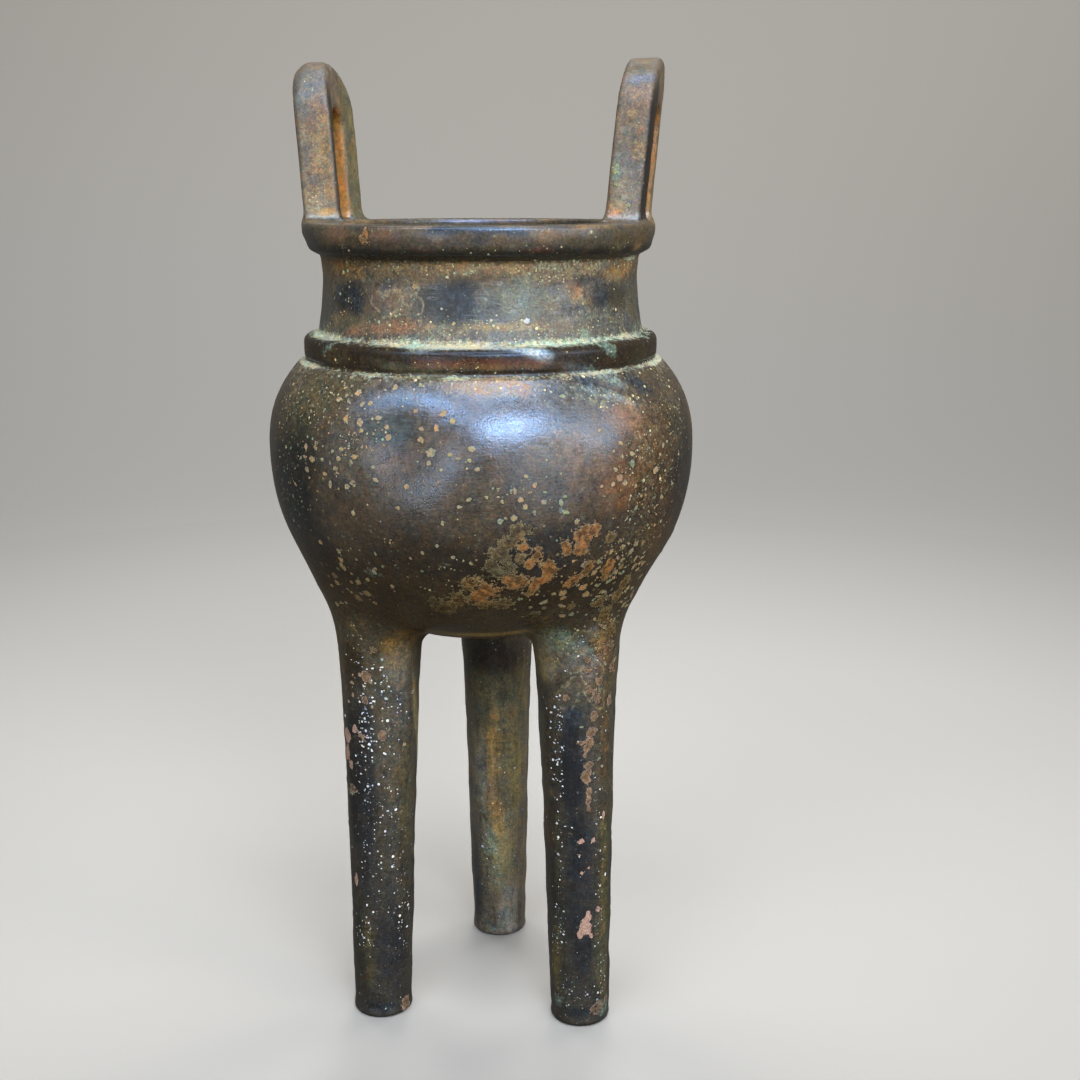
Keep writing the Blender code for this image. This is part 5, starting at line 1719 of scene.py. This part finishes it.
    # dull and shiny parts
    dull = g.math("MAXIMUM", g.math("MAXIMUM", g.math("MAXIMUM", crust, core),
                  g.mul(film, 0.45)), g.math("MAXIMUM", powder,
                  g.math("MAXIMUM", g.mul(dust, 0.7), g.mul(flecks, 0.7))))
    rough = g.add(0.28, g.mul(g.math("SUBTRACT", cloud, 0.5), 0.22),
                  g.mul(g.math("SUBTRACT", grain, 0.5), 0.25),
                  g.mul(g.math("SUBTRACT", brush, 0.5), brushed, 0.3))
    rough = g.add(rough, g.mul(g.attr("matt"), 0.26))
    rough = g.lerp(dull, rough, 0.86)
    rough = g.lerp(chip, rough, 0.5)
    metal = g.lerp(dull, 0.16, 0.0)
    metal = g.lerp(chip, metal, 0.3)

    # relief finer than the mesh
    height = g.add(g.mul(crust, 0.16), g.mul(core, 0.08), g.mul(dust, 0.04),
                   g.mul(flecks, 0.05), g.mul(chip, -0.1), g.mul(powder, 0.05),
                   g.mul(g.math("SUBTRACT", grain, 0.5), 0.045),
                   g.mul(g.math("SUBTRACT", fine, 0.5), 0.06),
                   g.mul(g.math("SUBTRACT", brush, 0.5), brushed, 0.022),
                   g.mul(crust, g.math("SUBTRACT", grain, 0.5), 0.22),
                   g.mul(g.math("SUBTRACT", run, 0.5), legs, 0.14),
                   g.mul(g.math("SUBTRACT", cloud, 0.5), 0.05))
    bump = g.node("ShaderNodeBump")
    bump.inputs["Strength"].default_value = 1.0
    bump.inputs["Distance"].default_value = 0.001
    g.put(bump.inputs["Height"], height)

    g.put(skin.inputs["Base Color"], col)
    g.put(skin.inputs["Roughness"], rough)
    g.put(skin.inputs["Metallic"], metal)
    g.put(skin.inputs["Normal"], bump.outputs[0])
    skin.inputs["IOR"].default_value = 1.6
    skin.inputs["Specular IOR Level"].default_value = 0.55
    skin.inputs["Specular Tint"].default_value = (0.6, 0.78, 1.0, 1.0)
    neck = g.mul(g.step(axes[2], 163.6, 165.2), g.step(axes[2], 184.0, 180.5))
    band = g.mul(g.step(axes[2], 157.4, 158.4), g.step(axes[2], 164.4, 163.3))
    sheen = g.lerp(g.math("MAXIMUM", g.math("MAXIMUM", dull, g.mul(band, 0.95)), g.math(
                   "MAXIMUM", g.math("MAXIMUM", g.mul(ears, 0.75), g.mul(rim, 0.6)),
                   g.mul(neck, 0.7))),
                   g.lerp(legs, 0.85, 0.6), 0.18)
    g.put(skin.inputs["Specular IOR Level"], sheen)
    glint = g.mix(g.step(axes[2], 163.0, 166.0), (0.36, 0.6, 1.0), (0.75, 0.86, 1.0))
    glint = g.mix(g.mul(g.step(axes[2], 184.6, 186.6), g.step(axes[2], 189.0, 188.2)), glint,
                  (0.4, 0.62, 1.0))
    glint = g.mix(g.mul(g.step(axes[2], 80.0, 94.0), g.step(axes[2], 128.0, 112.0)), glint,
                  (0.5, 0.38, 0.24))
    g.put(skin.inputs["Specular Tint"], glint)
    return mat


def floor_material():
    mat = bpy.data.materials.new("pale_floor")
    mat.use_nodes = True
    g = Graph(mat.node_tree)
    skin = mat.node_tree.nodes["Principled BSDF"]
    place = g.node("ShaderNodeTexCoord").outputs["Object"]
    g.put(skin.inputs["Base Color"], srgb(137, 135, 132))
    skin.inputs["Roughness"].default_value = 0.85
    skin.inputs["Specular IOR Level"].default_value = 0.2
    # the far parts, out of reach of the lamps, glow a little to look as evenly lit
    axes = g.split(place)
    reach = g.math("SQRT", g.add(g.mul(axes[0], axes[0]), g.mul(axes[1], axes[1])))
    ahead = g.math("DIVIDE", axes[1], g.math("MAXIMUM", reach, 0.01))
    glow = g.mul(g.step(reach, 0.42, 0.85), g.step(ahead, 0.8, 0.35))
    skin.inputs["Emission Color"].default_value = (1.0, 0.985, 0.96, 1.0)
    g.put(skin.inputs["Emission Strength"], g.mul(glow, 0.42))
    return mat


# -------------------------------------------------------------------- stage
def make_floor():
    """A flat floor that sweeps up all round, well away from the object."""
    profile = [(0.55 + 0.7 * math.sin(math.radians(90.0 * n / 16)),
                0.7 - 0.7 * math.cos(math.radians(90.0 * n / 16))) for n in range(17)]
    profile.append((1.25, 2.2))
    mat = floor_material()
    if hasattr(mat, "cycles"):
        mat.cycles.emission_sampling = "NONE"

    def sweep(first, last):
        verts, faces = [], []
        for k in range(first, last + 1):
            a = math.radians(5.0 * k)
            verts += [(r * math.sin(a), r * math.cos(a), z) for r, z in profile]
        rows = len(profile)
        for k in range(last - first):
            for n in range(rows - 1):
                i = k * rows + n
                faces.append((i, i + 1, i + rows + 1, i + rows))
        return verts, faces

    def put(name, verts, faces):
        mesh = bpy.data.meshes.new(name)
        mesh.from_pydata(verts, [], faces)
        mesh.polygons.foreach_set("use_smooth", [True] * len(faces))
        mesh.materials.append(mat)
        thing = bpy.data.objects.new(name, mesh)
        bpy.context.scene.collection.objects.link(thing)
        thing.visible_glossy = False
        thing.visible_diffuse = False
        return thing

    # the floor itself and the sweep behind it
    verts, faces = sweep(-12, 12)
    start = len(verts)
    for k in range(72):
        a = math.radians(5.0 * k)
        verts.append((profile[0][0] * math.sin(a), profile[0][0] * math.cos(a), 0.0))
    verts.append((0.0, 0.0, 0.0))
    faces += [(start + (k + 1) % 72, start + k, start + 72) for k in range(72)]
    start = len(verts)
    verts += [(-2.2, -1.6, -0.003), (2.2, -1.6, -0.003), (2.2, 1.25, -0.003), (-2.2, 1.25, -0.003)]
    faces.append((start, start + 1, start + 2, start + 3))
    put("floor", verts, faces)
    # the sweep on the other sides shades nothing
    put("surround", *sweep(12, 60)).visible_shadow = False


def area_light(name, place, target, size, power, colour, spread=180.0):
    data = bpy.data.lights.new(name, "AREA")
    data.shape = "RECTANGLE"
    data.size, data.size_y = size
    data.energy = power
    data.color = colour
    data.spread = math.radians(spread)
    lamp = bpy.data.objects.new(name, data)
    bpy.context.scene.collection.objects.link(lamp)
    lamp.location = place
    lamp.rotation_euler = (Vector(target) - Vector(place)).to_track_quat("-Z", "Y").to_euler()
    return lamp


def mirrored(sight, u, v, distance):
    """Where a light must stand to be mirrored at a pixel by the even belly."""
    p, n, _, _ = sight.at(u, v)
    look = p - sight.place
    look /= np.linalg.norm(look)
    smooth = np.array([p[0], p[1], 0.0]) / np.hypot(p[0], p[1])
    t = (p[2] - BELLY_Z) / BELLY_RISE
    rise = math.copysign(1.0, t) * RISE_POWER * abs(t) ** (RISE_POWER - 1) / (
        2 * (1 - abs(t) ** RISE_POWER)) * BELLY_R * math.sqrt(1 - abs(t) ** RISE_POWER) / BELLY_RISE
    normal = smooth + np.array([0.0, 0.0, rise])
    normal /= np.linalg.norm(normal)
    way = look - 2 * float(look @ normal) * normal
    return (p + way * distance) * MM, way


def make_lights(sight):
    # the main window of light stands where the belly's highlight mirrors it
    place, way = mirrored(sight, 512, 428, 900.0)
    across = way * np.array([1.0, 1.0, 0.0])
    across /= np.linalg.norm(across)
    high = math.radians(70.0)
    upper = (across * math.cos(high) + np.array([0.0, 0.0, math.sin(high)])) * 0.85
    upper = upper + np.array([0.0, 0.0, 0.14])
    area_light("window", place, (0.0, 0.0, 0.165), (0.84, 0.27), 1.9, (0.8, 0.9, 1.0), 46.0)
    tail, _ = mirrored(sight, 424, 411, 900.0)
    area_light("tail", tail, (0.0, 0.0, 0.165), (0.7, 0.13), 0.55, (0.8, 0.9, 1.0), 46.0)
    glow, _ = mirrored(sight, 424, 462, 900.0)
    area_light("glow", glow, (0.0, 0.0, 0.14), (0.3, 0.2), 0.15, (1.0, 0.9, 0.8), 46.0)
    under, _ = mirrored(sight, 540, 466, 900.0)
    area_light("under", under, (0.0, 0.0, 0.15), (0.62, 0.42), 0.24, (1.0, 0.84, 0.7), 46.0)
    side, _ = mirrored(sight, 596, 436, 900.0)
    area_light("side", side, (0.0, 0.0, 0.17), (0.2, 0.34), 0.125, (1.0, 0.95, 0.9), 46.0)
    area_light("upper", upper, (0.0, 0.0, 0.15), (0.6, 0.3), 0.95, (0.95, 0.97, 1.0), 60.0)
    area_light("fill_left", (-0.75, -0.5, 0.6), (0.0, 0.0, 0.15), (0.4, 0.4), 0.04,
               (1.0, 0.97, 0.92), 50.0)
    area_light("fill_right", (0.8, -0.3, 0.55), (0.0, 0.0, 0.15), (0.5, 0.5), 0.25,
               (1.0, 0.95, 0.88), 50.0)
    area_light("backdrop", (0.0, 0.75, 1.5), (0.0, 1.15, 0.35), (1.6, 0.3), 17.0,
               (1.0, 0.99, 0.97), 120.0)
    # light that only the far side takes, with no glint of its own on the near one
    for name, x, y, high, power in (("back", 0.0, 1.0, 0.6, 1.3), ("back_left", -0.72, 0.72, 0.5, 0.75),
                                    ("back_right", 0.72, 0.72, 0.5, 0.75)):
        lamp = area_light(name, (x, y, high), (0.0, 0.0, 0.13), (0.6, 0.4), power,
                          (1.0, 0.97, 0.94), 46.0)
        lamp.visible_glossy = False
    world = bpy.data.worlds.new("studio")
    bpy.context.scene.world = world
    world.use_nodes = True
    back = world.node_tree.nodes["Background"]
    back.inputs["Color"].default_value = (1.0, 0.93, 0.8, 1.0)
    back.inputs["Strength"].default_value = 0.125


# --------------------------------------------------------------------- make
def make_casting():
    verts, normals, quads, tris, inner = casting_mesh()
    quads = faces_outwards(verts, normals, quads)
    tris = faces_outwards(verts, normals, tris)
    faces = [tuple(q) for q in quads.tolist()] + [tuple(t) for t in tris.tolist()]
    sight = Sight(verts, faces)
    marks = paint(verts, normals, inner.astype(float), sight)
    sink = relief(verts, normals, inner.astype(float), sight, marks)
    verts = verts - normals * sink[:, None]
    verts[:, 2] = np.maximum(verts[:, 2], 0.0)

    mesh = bpy.data.meshes.new("incense_burner_cast")
    mesh.from_pydata((verts * MM).tolist(), [], faces)
    mesh.polygons.foreach_set("use_smooth", [True] * len(faces))
    mesh.update()

    def number(name, values):
        layer = mesh.attributes.new(name, "FLOAT", "POINT")
        layer.data.foreach_set("value", np.asarray(values, np.float32))

    colour = mesh.attributes.new("tint", "FLOAT_COLOR", "POINT")
    rgba = np.ones((len(verts), 4), np.float32)
    rgba[:, :3] = marks["tint"]
    colour.data.foreach_set("color", rgba.ravel())
    corners = [verts[quads].mean(axis=1)] + ([verts[tris].mean(axis=1)] if len(tris) else [])
    facing = [normals[quads].mean(axis=1)] + ([normals[tris].mean(axis=1)] if len(tris) else [])
    mids, firsts, seconds, hues, strengths = lay_spots(
        marks["spots"], np.concatenate(corners), np.concatenate(facing))
    for name, values in (("spot_mid", mids), ("spot_a", firsts), ("spot_b", seconds)):
        layer = mesh.attributes.new(name, "FLOAT_VECTOR", "FACE")
        layer.data.foreach_set("vector", values.astype(np.float32).ravel())
    for name, values in (("spot_hue", hues), ("spot_level", strengths)):
        layer = mesh.attributes.new(name, "FLOAT", "FACE")
        layer.data.foreach_set("value", values.astype(np.float32))
    number("dust", marks["dust"])
    number("crust", marks["crust"].level)
    number("crust_hue", marks["crust"].hue)
    number("chips", marks["chips"].level)
    number("dark", marks["dark"].level)
    number("loose", marks["loose"])
    number("fine", marks["fine"])
    number("powder", marks["powder"])
    number("brushed", marks["brushed"])
    number("halo", marks["halos"].level)
    number("halo2", marks["halos2"].level)
    number("waves", marks["waves"])
    number("film", marks["film"])
    number("blue", marks["blue"])
    z = verts[:, 2]
    matt = np.clip(inner + 0.35 * smoothstep(100, 90, z) + 0.9 * smoothstep(188.5, 190.5, z)
                   + 0.6 * smoothstep(163.6, 165.0, z) * smoothstep(181.0, 179.5, z), 0, 1)
    number("matt", matt)
    mesh.materials.append(patina_material())
    piece = bpy.data.objects.new("incense_burner_cast", mesh)
    bpy.context.scene.collection.objects.link(piece)
    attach(piece, "root")
    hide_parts("incense_burner")
    print("casting:", len(verts), "vertices,", len(quads), "quads,", len(tris), "triangles,",
          len(quads) * 2 + len(tris), "in all")
    return piece, sight


bpy.context.scene.view_settings.view_transform = "Standard"
make_camera()
casting, sight = make_casting()
make_lights(sight)
make_floor()

bpy.context.view_layer.update()
